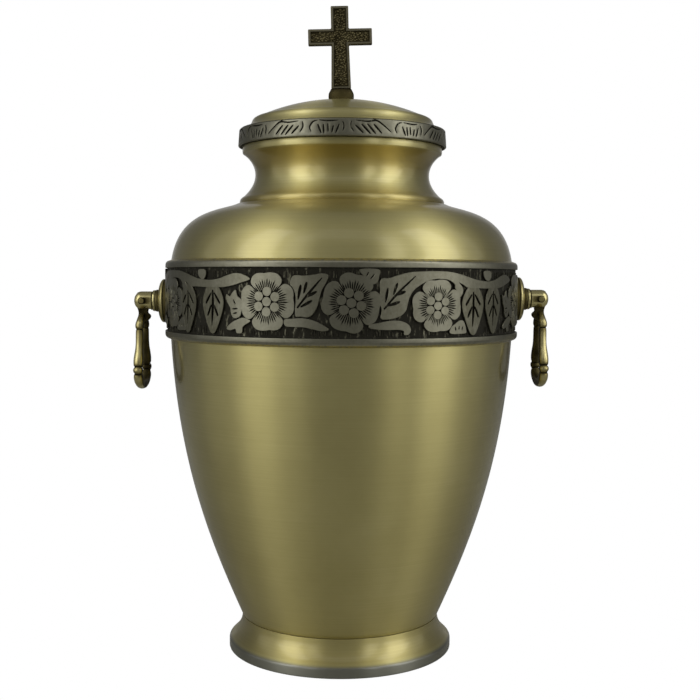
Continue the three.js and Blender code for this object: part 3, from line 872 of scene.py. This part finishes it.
BUD = ((71.6, 187.3), (76.4, 187.4), (77.2, 185.2), (75.6, 183.3), (73.4, 183.6), (71.6, 185.2))

# Each flower's place along the band and height, how flat it is pressed, and its lean in degrees
FLOWERS = ((-32.9, 173.8, 1.0, 2.0), (4.2, 173.5, 1.0, -14.0), (43.6, 172.3, 0.9, 3.0))

repeat_shapes = []
for along, up, squash, lean in FLOWERS:
    repeat_shapes += flower((along, up), squash, lean)
repeat_shapes.append(sprig(SPRIG_LEFT, SPRIG_LEFT_VEIN, SPRIG_LEFT_STROKES))
for outline in (LOW_LEAF_LEFT, LOW_LEAF_RIGHT, TWIG, BUD):
    repeat_shapes.append(plain(outline))
for outline, strokes in ((TOP_SPRIG, TOP_SPRIG_STROKES), (RAGGED_LEAF, RAGGED_CUTS),
                         (CORNER_LEAF, CORNER_CUTS)):
    repeat_shapes.append(plain(outline, [cut_line(stroke, 0.8) for stroke in strokes]))
repeat = joined(repeat_shapes)

# Short upright ridges along the edges of the ground, in loose clusters: low and high end, count, seed
TICK_SETS = ((159.4, 160.9, 480, 3), (159.6, 162.4, 400, 5), (185.6, 186.9, 480, 7),
             (184.2, 186.8, 400, 9))
TICK_HALF = 0.12
TICK_RISE = 0.3
TICK_SHADE = 0.42
TICK_JITTER = 0.6
CLUSTER_LEVEL = 0.25


def tick(low, high):
    outline = [(-TICK_HALF, low), (TICK_HALF, low), (TICK_HALF, high), (-TICK_HALF, high)]
    points, faces, _ = plate(outline, top=BAND_GROUND + TICK_RISE, base=BAND_GROUND - 0.1, ease=0.1)
    return points, faces, [TICK_SHADE if p[2] > BAND_GROUND else 1.0 for p in points]


def tick_turns(count, seed):
    """Even turns, kept only where two slow waves together stand high."""
    turns = [360 * i / count for i in range(count)]
    return [turn for turn in turns
            if math.sin(0.31 * turn + seed) + math.sin(0.83 * turn + 2 * seed) > CLUSTER_LEVEL]


arch = sprig(SPRIG_RIGHT, SPRIG_RIGHT_VEIN, SPRIG_RIGHT_STROKES)
band_meshes = [
    copied_around("front_repeat", wrapped(repeat, BAND_FACE, PATTERN_START), REPEAT_STARTS[:1], PEWTER),
    copied_around("other_repeats", wrapped(repeat, BAND_FACE, PATTERN_START, REPEAT_SQUEEZE),
                  REPEAT_STARTS[1:], PEWTER),
    copied_around("arches", wrapped(arch, BAND_FACE), ARCH_TURNS, PEWTER),
    copied_around("first_leaves", wrapped(hanging_leaf(173.0, 1.0), BAND_FACE), FIRST_LEAF_TURNS, PEWTER),
    copied_around("second_leaves", wrapped(hanging_leaf(173.2, 0.93), BAND_FACE), SECOND_LEAF_TURNS,
                  PEWTER),
    belt.data,
]
for low, high, count, seed in TICK_SETS:
    band_meshes.append(copied_around("ground_ticks", wrapped(tick(low, high), BAND_FACE),
                                     tick_turns(count, seed), PEWTER, TICK_JITTER, seed))
band = joined_object("band_relief", band_meshes, PEWTER)
bpy.data.objects.remove(belt)
finish_piece(band, "urn", "pewter", "band")


# Lid rim: a ring with a dark floor, and over it one engraved sheet for each quarter: a leaf,
# a scallop, the leaf turned over, and the scallop again. A stroke is its corners and its width.
RIM_UNIT = math.pi * LID_RIM_FACE / 8
RIM_START = -9.9
RIM_LOW = 248.4
RIM_MIDDLE = 252.4
RIM_HIGH = 255.6
RIM_COLUMNS = 40
RIM_ROWS = 4
RIM_TURNS = (-31.8, 58.2, 148.2, 238.2)
RIM_RING = ((47.0, 248.0), (LID_RIM_CUT, 248.0), (LID_RIM_CUT, LID_RIM_TOP), (47.0, LID_RIM_TOP))
RIM_LEAF = (
    (((-9.2, 250.2), (-5.6, 253.0), (-2.0, 255.1), (2.4, 254.6), (7.8, 255.0)), 0.95),
    (((9.7, 254.8), (9.9, 252.2), (8.4, 249.7)), 0.9),
    (((-4.5, 249.4), (-0.5, 253.6)), 1.1), (((-1.5, 249.1), (2.5, 253.6)), 1.1),
    (((0.9, 249.0), (5.2, 253.4)), 1.1), (((4.3, 249.3), (8.0, 252.9)), 1.1))
RIM_SCALLOP = (
    (((-6.6, 249.9), (-7.4, 252.0), (-5.8, 254.4), (-3.6, 255.0)), 0.95),
    (((-2.9, 255.1), (1.2, 254.7), (5.8, 254.9)), 0.85),
    (((7.7, 254.5), (8.4, 252.5), (7.7, 249.9)), 0.95),
    (((-3.6, 253.3), (-1.9, 249.1)), 1.1), (((-1.0, 253.3), (-0.7, 249.0)), 1.05),
    (((1.0, 253.5), (1.2, 249.6)), 1.0), (((3.6, 252.6), (2.8, 249.3)), 1.05),
    (((6.3, 253.4), (4.5, 249.0)), 1.05))
RIM_UNITS = ((0.0, RIM_LEAF, 1), (RIM_UNIT + 0.6, RIM_SCALLOP, 1), (2 * RIM_UNIT + 2.0, RIM_LEAF, -1),
             (3 * RIM_UNIT + 0.8, RIM_SCALLOP, 1))

rim_cuts = []
for middle, strokes, side in RIM_UNITS:
    for corners, width in strokes:
        moved = [(middle + side * x, z) for x, z in corners]
        rim_cuts.append(cut_line(moved, width, (0.55, 1.0, 0.4)))
rim_columns = [RIM_START + 4 * RIM_UNIT * i / RIM_COLUMNS for i in range(RIM_COLUMNS + 1)]
rim_rows = [RIM_LOW + (RIM_HIGH - RIM_LOW) * i / RIM_ROWS for i in range(1, RIM_ROWS)]
rim_outline = ([(x, RIM_LOW) for x in rim_columns] + [(rim_columns[-1], z) for z in rim_rows]
               + [(x, RIM_HIGH) for x in rim_columns[::-1]] + [(rim_columns[0], z) for z in rim_rows[::-1]])
sheet_points, sheet_faces, sheet_recess = plate(rim_outline, rim_cuts, LID_RIM_FACE, LID_RIM_CUT - 0.2,
                                                0.12, 0.42, 3, open_ends=True)
sheet_points = [(x, z, out + LID_RIM_SLOPE * (RIM_MIDDLE - z)) for x, z, out in sheet_points]
rim_sheet = wrapped((sheet_points, sheet_faces, sheet_recess), LID_RIM_FACE)
rim_points, rim_faces, _ = turned_mesh(RIM_RING)
rim_ring = make_object("rim_ring", rim_points, rim_faces, PEWTER, [1.0] * len(rim_points))
rim_meshes = [copied_around("rim_sheets", rim_sheet, RIM_TURNS, PEWTER), rim_ring.data]
lid_rim = joined_object("lid_rim_engraved", rim_meshes, PEWTER)
bpy.data.objects.remove(rim_ring)
finish_piece(lid_rim, "urn", "pewter", "lid_rim")


# Cross on its collar: a cast slab with a raised border around a panel of rough grains
CROSS_HALF_DEPTH = 1.8
CROSS_LEAN = math.radians(1.6)
CROSS_CORNERS = ((4.85, 0.0), (4.3, 21.4), (15.65, 21.4), (15.65, 29.2), (4.3, 29.2), (4.3, 40.2))
CROSS_BORDER = 1.15
CROSS_SINK = 0.7
CROSS_SINK_SLOPE = 0.3
CROSS_PANEL_MARGIN = 0.4
CROSS_BEVEL = 0.5
CROSS_SHARP_ANGLE = 60
PANEL_SHADE = 0.6
BORDER_SHADE = -0.2
SIDE_SHADE = 0.5
COLLAR_SHADE = 0.55
JOINT_SHADE = 0.75
GRAIN_SPACING = 0.95
GRAIN_SIZES = (0.6, 1.25)


def leaned(x, z):
    cosine, sine = math.cos(CROSS_LEAN), math.sin(CROSS_LEAN)
    return CROSS_OFFSET + x * cosine - z * sine, CROSS_FOOT + x * sine + z * cosine


collar_profile = rounded([
    (0, 0, 0), (5.7, 0, 0.2), (6.1, 0.6, 0.4), (6.3, 2.2, 1.0), (6.2, 3.9, 0.8), (5.5, 5.2, 0.6),
    (5.15, 6.0, 0.2), (0, 6.0, 0)])
collar_points, collar_faces, _ = turned_mesh(collar_profile, SMALL_TURN_STEPS)
# Dark at both ends, where it meets the lid and the cross: browning and painted shade
collar_recess = [COLLAR_SHADE if 0.5 < z < 5.3 else JOINT_SHADE for _, _, z in collar_points]
collar_points = [(x + CROSS_OFFSET, y, z + COLLAR_FOOT) for x, y, z in collar_points]
collar = make_object("collar_turned", collar_points, collar_faces, AGED_BRASS, collar_recess)
finish_piece(collar, "urn", "aged_brass", "cross_collar")

cross_ring = [(x, z) for x, z in CROSS_CORNERS] + [(-x, z) for x, z in CROSS_CORNERS[::-1]]
shape = bmesh.new()
front_corners = [shape.verts.new((x, -CROSS_HALF_DEPTH, z)) for x, z in cross_ring]
back_corners = [shape.verts.new((x, CROSS_HALF_DEPTH, z)) for x, z in cross_ring]
front = shape.faces.new(front_corners)
shape.faces.new(back_corners[::-1])
for i in range(len(cross_ring)):
    after = (i + 1) % len(cross_ring)
    shape.faces.new((front_corners[after], front_corners[i], back_corners[i], back_corners[after]))
outer_edges = list(shape.edges)
shape.normal_update()
bmesh.ops.inset_region(shape, faces=[front], thickness=CROSS_BORDER, use_even_offset=True)
bmesh.ops.inset_region(shape, faces=[front], thickness=CROSS_SINK_SLOPE, depth=-CROSS_SINK,
                       use_even_offset=True)
bmesh.ops.inset_region(shape, faces=[front], thickness=CROSS_PANEL_MARGIN, use_even_offset=True)
panel_ring = [(loop.vert.co.x, loop.vert.co.z) for loop in front.loops]
bmesh.ops.bevel(shape, geom=outer_edges, offset=CROSS_BEVEL, segments=3, profile=0.55, affect="EDGES")
shape.verts.index_update()
cross_points = []
cross_recess = []
for vertex in shape.verts:
    x, z = leaned(vertex.co.x, vertex.co.z)
    cross_points.append((x, vertex.co.y, z))
    sunk = abs(vertex.co.y + CROSS_HALF_DEPTH - CROSS_SINK) < 0.1
    on_border = vertex.co.y < 0.01 - CROSS_HALF_DEPTH
    cross_recess.append(PANEL_SHADE if sunk else BORDER_SHADE if on_border else SIDE_SHADE)
cross_faces = [[vertex.index for vertex in face.verts] for face in shape.faces]
shape.free()
slab = make_object("cross_slab", cross_points, cross_faces, BRONZE, cross_recess)


# One grain: an uneven six-sided lump; rings of radius, place out from the panel, and shade
GRAIN_RINGS = ((0.62, 0.1, 0.6), (0.44, -0.26, 0.3))
GRAIN_UNEVEN = (1.3, 0.95, 0.85, 1.4, 1.15, 0.8)
GRAIN_SIDES = len(GRAIN_UNEVEN)
GRAIN_TIP = (0.06, -0.42, 0.04)
GRAIN_TIP_SHADE = 0.15

grain_points, grain_recess = [], []
for radius, out, shade in GRAIN_RINGS:
    for i, uneven in enumerate(GRAIN_UNEVEN):
        angle = 2 * math.pi * i / GRAIN_SIDES
        grain_points.append((uneven * radius * math.cos(angle), out, uneven * radius * math.sin(angle)))
        grain_recess.append(shade)
grain_points.append(GRAIN_TIP)
grain_recess.append(GRAIN_TIP_SHADE)
sides = [(i, (i + 1) % GRAIN_SIDES) for i in range(GRAIN_SIDES)]
grain_faces = [(GRAIN_SIDES + i, i, after, GRAIN_SIDES + after) for i, after in sides]
grain_faces += [(2 * GRAIN_SIDES, GRAIN_SIDES + i, GRAIN_SIDES + after) for i, after in sides]
grain_faces.append(tuple(range(GRAIN_SIDES))[::-1])
grain = make_object("grain", grain_points, grain_faces, BRONZE, grain_recess)
panel = bpy.data.meshes.new("panel")
panel_points = []
for x, z in panel_ring:
    along, up = leaned(x, z)
    panel_points.append(Vector((along, CROSS_SINK - CROSS_HALF_DEPTH, up)) * MM)
panel.from_pydata(panel_points, [], [list(range(len(panel_points)))])
grains = run_tree("panel_grains", grains_tree(), panel,
                  {"Grain": grain, "Finish": BRONZE, "Spacing": GRAIN_SPACING * MM,
                   "Smallest": GRAIN_SIZES[0], "Largest": GRAIN_SIZES[1], "Seed": 11})
bpy.data.objects.remove(grain)
cross = joined_object("cross_cast", [slab.data, grains], BRONZE, CROSS_SHARP_ANGLE)
bpy.data.objects.remove(slab)
finish_piece(cross, "urn", "dark_bronze", "cross")


# Handle fittings, made for the right side and turned half around for the left; heights are from the
# pin, and the profiles run out from the urn's axis

POST_STEPS = 64
PIN_STEPS = 32
KNUCKLE = 4.6
KNUCKLE_END = 103.0
KNUCKLE_DOME = 3.9
KNUCKLE_RINGS = 16
SLOT_HALF = 1.95
SLOT_START = 94.6
SLOT_ROOF = 3.5
HOLE_RADIUS = 1.62
PIN_RADIUS = 1.4
PIN_HALF = 4.8
EYE_RADIUS = 2.1
TONGUE_HALF = 1.6
POST_GROOVES = ((92.1, 92.4), (93.5, 94.1))
ROSETTE_SHADE = 0.4
POST_RING_SHADE = 0.45
KNUCKLE_SHADE = -0.1
PIN_SHADE = 0.7
PIN_END_SHADE = 0.1
TONGUE_PAINTED_SHADE = 0.6
LOOP_BACK_PAINTED_SHADE = 0.62
ROSETTE_PROFILE = ((0, 85.6, 0), (10.2, 85.6, 0), (10.2, 87.5, 0.1), (10.75, 87.8, 0.2),
                   (10.75, 88.5, 0.3), (10.2, 89.2, 0.5), (8.6, 90.0, 0.8), (6.6, 90.3, 0.4),
                   (5.6, 90.3, 0), (0, 90.3, 0))
POST_PROFILE = ((0, 89.9, 0), (5.2, 89.9, 0), (5.5, 90.8, 0.5), (5.5, 91.8, 0.5), (5.15, 92.3, 0.15),
                (5.25, 92.7, 0.3), (5.1, 93.6, 0.3), (4.45, 93.9, 0.1), (KNUCKLE, 94.3, 0.2))
PIN_PROFILE = ((0, -PIN_HALF, 0), (PIN_RADIUS, -PIN_HALF, 0.3), (PIN_RADIUS, PIN_HALF, 0.3),
               (0, PIN_HALF, 0))

# Half of the drop loop: half-width, drop below the pin, thickness radius, and how dark it is
LOOP_STATIONS = (
    (0.0, -7.4, 1.8, 0.5), (2.6, -7.8, 1.65, 0.4), (5.0, -8.8, 1.65, 0.2), (6.9, -10.1, 1.8, 0.0),
    (7.8, -11.4, 2.1, 0.0), (8.0, -12.6, 2.15, 0.0), (8.1, -13.4, 1.95, 0.2), (8.1, -13.9, 1.6, 0.8),
    (8.1, -14.4, 1.85, 0.2), (8.1, -16.6, 1.95, 0.0), (8.4, -20.0, 1.92, 0.0), (9.2, -23.4, 2.0, 0.0),
    (10.4, -26.8, 2.35, 0.0), (11.4, -29.4, 2.5, 0.0), (12.1, -31.6, 2.3, 0.2), (12.3, -32.3, 1.8, 0.8),
    (12.4, -32.8, 2.25, 0.2), (12.5, -33.8, 2.55, 0.0), (12.5, -34.8, 2.25, 0.2), (12.4, -35.4, 1.8, 0.8),
    (12.2, -36.0, 2.15, 0.2), (11.6, -37.4, 2.4, 0.0), (9.9, -39.3, 2.3, 0.0), (7.6, -40.5, 2.2, 0.0),
    (5.0, -41.2, 2.2, 0.1), (2.5, -41.5, 2.2, 0.2), (0.0, -41.6, 2.2, 0.3))
# The tongue's outline from the pin: away from the urn, and up; a heel stands out towards the urn
TONGUE = ((0.0, 2.9), (2.05, 2.05), (2.9, 0.0), (2.7, -2.2), (1.9, -4.2), (1.5, -6.2), (1.8, -8.2),
          (1.5, -9.8), (0.0, -10.4), (-1.2, -10.2), (-2.2, -9.7), (-3.1, -8.9), (-3.6, -8.1),
          (-3.6, -7.4), (-3.1, -6.85), (-2.4, -6.2), (-2.3, -5.3), (-2.5, -4.2), (-2.75, -2.2),
          (-2.9, 0.0), (-2.05, 2.05))
LOOP_SIDES = 20


def along_x(spot):
    return spot[2], spot[0], spot[1]


def on_pin(spot):
    return PIN_REACH + spot[1], spot[2], spot[0]


def carved(piece, cutters):
    """The piece's mesh with the cutters taken away."""
    for cutter in cutters:
        modifier = piece.modifiers.new("cut", "BOOLEAN")
        modifier.operation = "DIFFERENCE"
        modifier.solver = "EXACT"
        modifier.object = cutter
    graph = bpy.context.evaluated_depsgraph_get()
    mesh = bpy.data.meshes.new_from_object(piece.evaluated_get(graph))
    for thing in [piece] + cutters:
        bpy.data.objects.remove(thing)
    points = [vertex.co / MM for vertex in mesh.vertices]
    return points, [tuple(polygon.vertices) for polygon in mesh.polygons]


def drop_loop():
    """The drop handle's loop: half round with its back flat; its back and its inner side get painted shade.
    """
    half = [Vector(station) for station in LOOP_STATIONS]
    other = [Vector((-s[0], s[1], s[2], s[3])) for s in half[-2:0:-1]]
    path = smooth(half + other, 0.6)
    points, faces, tone_and_shade = [], [], []
    count = len(path)
    for index, (across, drop, radius, shade) in enumerate(path):
        ahead, behind = path[(index + 1) % count], path[index - 1]
        heading = Vector((ahead[0] - behind[0], ahead[1] - behind[1])).normalized()
        for side in range(LOOP_SIDES):
            angle = 2 * math.pi * side / LOOP_SIDES
            out = radius * math.cos(angle)
            depth = 1.08 * radius * max(math.sin(angle), -0.72)
            points.append((PIN_REACH + depth, across - heading.y * out, drop + heading.x * out))
            # The back and the side facing the loop's middle are painted dark, as the shade that falls there
            inner = max(-math.cos(angle), 1.0 if math.sin(angle) < -0.75 else 0.0)
            tone_and_shade.append(max(shade, LOOP_BACK_PAINTED_SHADE * inner) - 0.02)
    for index in range(count):
        here, there = index * LOOP_SIDES, (index + 1) % count * LOOP_SIDES
        for side in range(LOOP_SIDES):
            after = (side + 1) % LOOP_SIDES
            faces.append((here + side, here + after, there + after, there + side))
    return points, faces, tone_and_shade


def tongue():
    loop = smooth(TONGUE[::-1], 0.7)
    eye = circle((0, 0), EYE_RADIUS)
    points, faces, _ = plate(loop, [eye], TONGUE_HALF, -TONGUE_HALF, 0.35, steps=2, both=True)
    placed = [(PIN_REACH + along, -out, up) for along, up, out in points]
    # The whole tongue is painted dark, as the shade it sits in under the knuckle
    return placed, faces, [TONGUE_PAINTED_SHADE] * len(points)


def side_piece(name, side, points, faces, tone_and_shade, body, *nodes):
    turn = 1 if side == "right" else -1
    height = HANDLE_HEIGHT if side == "right" else HANDLE_HEIGHT - LEFT_HANDLE_DROP
    placed = [(turn * x, turn * y, z + height) for x, y, z in points]
    piece = make_object(side + "_" + name, placed, faces, AGED_BRASS, tone_and_shade)
    finish_piece(piece, body, "aged_brass", *[side + "_" + node for node in nodes])


rosette_points, rosette_faces, _ = turned_mesh(rounded(ROSETTE_PROFILE), SMALL_TURN_STEPS)
rosette_points = [along_x(p) for p in rosette_points]
# Darker under the post and at the back by the band: browning and painted shade between the parts
rosette_recess = [ROSETTE_SHADE if math.hypot(y, z) < 5.9 or x < 87.9 else 0.0 for x, y, z in rosette_points]

post_outline = rounded(POST_PROFILE)
for step in range(KNUCKLE_RINGS + 1):
    angle = 0.5 * math.pi * step / KNUCKLE_RINGS
    reach = KNUCKLE_END - KNUCKLE_DOME * (1 - math.sin(angle) ** 0.9)
    post_outline.append((KNUCKLE * math.cos(angle) ** 0.85, reach))
post_outline[-1] = (0, KNUCKLE_END)
post_points, post_faces, _ = turned_mesh(post_outline, POST_STEPS)
post_blank = make_object("post_blank", [along_x(p) for p in post_points], post_faces, AGED_BRASS)
slot_points = [(x, y, z) for x in (SLOT_START, KNUCKLE_END + 3) for y in (-SLOT_HALF, SLOT_HALF)
               for z in (-7, SLOT_ROOF)]
slot_faces = [(0, 1, 3, 2), (4, 6, 7, 5), (0, 4, 5, 1), (2, 3, 7, 6), (0, 2, 6, 4), (1, 5, 7, 3)]
slot_block = make_object("slot_block", slot_points, slot_faces, AGED_BRASS)
hole_profile = ((0, -8), (HOLE_RADIUS, -8), (HOLE_RADIUS, 8), (0, 8))
hole_points, hole_faces, _ = turned_mesh(hole_profile, PIN_STEPS)
hole_bar = make_object("hole_bar", [on_pin(p) for p in hole_points], hole_faces, AGED_BRASS)
post_points, post_faces = carved(post_blank, [slot_block, hole_bar])
# Pin hole, grooves and slot are darkened: browned patina and the painted shade in them
post_recess = []
for x, y, z in post_points:
    near_pin = math.hypot(x - PIN_REACH, z) < 1.7
    in_groove = any(start < x < end for start, end in POST_GROOVES)
    in_slot = abs(y) < SLOT_HALF + 0.01 < KNUCKLE - abs(z)
    on_ring = x < POST_GROOVES[0][0]
    shade = POST_RING_SHADE if on_ring else KNUCKLE_SHADE
    post_recess.append(JOINT_SHADE if near_pin or in_groove or in_slot else shade)

pin_points, pin_faces, _ = turned_mesh(rounded(PIN_PROFILE), PIN_STEPS)
pin_points = [on_pin(p) for p in pin_points]
pin_recess = [PIN_END_SHADE if abs(y) > PIN_HALF - 0.1 else PIN_SHADE for _, y, _ in pin_points]

handle_points, handle_faces, handle_tone_and_shade = joined([drop_loop(), tongue()])

for side in ("left", "right"):
    side_piece("rosette_turned", side, rosette_points, rosette_faces, rosette_recess, "urn", "rosette")
    side_piece("post_turned", side, post_points, post_faces, post_recess, "urn", "post")
    side_piece("pin_turned", side, pin_points, pin_faces, pin_recess, "urn", "pin")
    side_piece("handle_cast", side, handle_points, handle_faces, handle_tone_and_shade, side + "_drop", "handle")


# Studio: pale floor, soft boxes at both sides, darker room; the camera of the photo

# Name, azimuth, low and high edge, distance, width, radiance, tilt; in metres and degrees
SOFT_BOXES = (
    ("left_box", -59, 0.28, 2.1, 1.25, 0.6, 1.55, 0),
    ("left_low", -53, 0.02, 0.28, 1.25, 0.55, 1.2, 0),
    ("right_box", 70, 0.28, 2.1, 1.25, 0.6, 1.55, 0),
    ("right_low", 63, 0.02, 0.28, 1.25, 0.55, 1.05, 0),
    ("left_wash", -62, 0.02, 2.1, 1.35, 2.3, 0.33, 0),
    ("right_wash", 66, 0.02, 2.1, 1.35, 2.3, 0.33, 0),
    ("left_strip", -33, 0.1, 1.5, 1.25, 0.3, 0.45, 0),
    ("right_strip", 36, 0.1, 1.5, 1.25, 0.25, 0.85, 0),
    ("front_top", 0, 1.1, 1.6, 0.85, 1.4, 0.4, 53.5))

FLOOR_RADIUS = 6000
FLOOR_HEIGHT = -0.4
FLOOR_STEPS = 64

CAMERA_PLACE = (0, -0.572, 0.184)
CAMERA_HEADING = -0.436
CAMERA_PITCH = 86.42
CAMERA_ROLL = 0.33
CAMERA_LENS = 59.02


def softbox(name, azimuth, low, high, distance, width, radiance, tilt):
    """A soft box that faces the urn, tilted down; azimuth is measured from the camera's side."""
    light = bpy.data.lights.new(name, "AREA")
    light.shape = "RECTANGLE"
    light.size, light.size_y = width, high - low
    light.energy = math.pi * width * (high - low) * radiance
    lamp = bpy.data.objects.new(name, light)
    angle = math.radians(azimuth)
    lamp.location = (distance * math.sin(angle), -distance * math.cos(angle), (low + high) / 2)
    lamp.rotation_euler = (math.radians(90 - tilt), 0, angle)
    lamp.visible_camera = False
    bpy.context.collection.objects.link(lamp)


for box in SOFT_BOXES:
    softbox(*box)

# Matt white paper, which the camera sees as pure white and the brass mirrors as pale grey
floor_material, floor_tree = new_material("pale_paper_floor")
seen = add_node(floor_tree, "ShaderNodeLightPath")
paper = add_node(floor_tree, "ShaderNodeBsdfDiffuse", {"Color": srgb("#b4b4b0")})
bright = add_node(floor_tree, "ShaderNodeEmission", {"Color": srgb("#ffffff"), "Strength": 1.0})
shown = add_node(floor_tree, "ShaderNodeMixShader", {
    0: seen.outputs["Is Camera Ray"], 1: paper.outputs["BSDF"], 2: bright.outputs["Emission"]})
add_node(floor_tree, "ShaderNodeOutputMaterial", {"Surface": shown.outputs["Shader"]})
floor_profile = ((0, FLOOR_HEIGHT), (FLOOR_RADIUS, FLOOR_HEIGHT))
floor_points, floor_faces, _ = turned_mesh(floor_profile, FLOOR_STEPS)
floor = make_object("floor", floor_points, floor_faces, floor_material)
floor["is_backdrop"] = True

# The room: dim greys by direction, from the camera's side to behind the urn; white to the camera
world = bpy.data.worlds.new("studio")
world.use_nodes = True
bpy.context.scene.world = world
room = world.node_tree
room.nodes.clear()
way = add_node(room, "ShaderNodeTexCoord")
way_parts = add_node(room, "ShaderNodeSeparateXYZ", {"Vector": way.outputs["Generated"]})
behind = add_node(room, "ShaderNodeMapRange", {
    "Value": way_parts.outputs["Y"], 1: -1.0, 2: 1.0, 3: 0.0, 4: 1.0})
greys = add_node(room, "ShaderNodeValToRGB", {"Fac": behind.outputs["Result"]},
                 stops=((0.6, "#818181"), (0.75, "#6e6e6e"), (0.93, "#6e6e6e"), (1.0, "#bcbcbc")))
seen = add_node(room, "ShaderNodeLightPath")
dim = add_node(room, "ShaderNodeBackground", {"Color": greys.outputs["Color"], "Strength": 1.0})
white = add_node(room, "ShaderNodeBackground", {"Color": srgb("#ffffff"), "Strength": 1.0})
shown = add_node(room, "ShaderNodeMixShader", {
    0: seen.outputs["Is Camera Ray"], 1: dim.outputs["Background"], 2: white.outputs["Background"]})
add_node(room, "ShaderNodeOutputWorld", {"Surface": shown.outputs["Shader"]})

bpy.context.scene.view_settings.view_transform = "Standard"
bpy.context.scene.view_settings.look = "None"

lens = bpy.data.cameras.new("camera")
lens.lens = CAMERA_LENS
lens.sensor_width = 36.0
camera = bpy.data.objects.new("camera", lens)
camera.matrix_world = Matrix.Translation(CAMERA_PLACE)
for angle, axis in ((CAMERA_HEADING, "Z"), (CAMERA_PITCH, "X"), (CAMERA_ROLL, "Z")):
    camera.matrix_world = camera.matrix_world @ Matrix.Rotation(math.radians(angle), 4, axis)
bpy.context.collection.objects.link(camera)
bpy.context.scene.camera = camera

low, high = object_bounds()
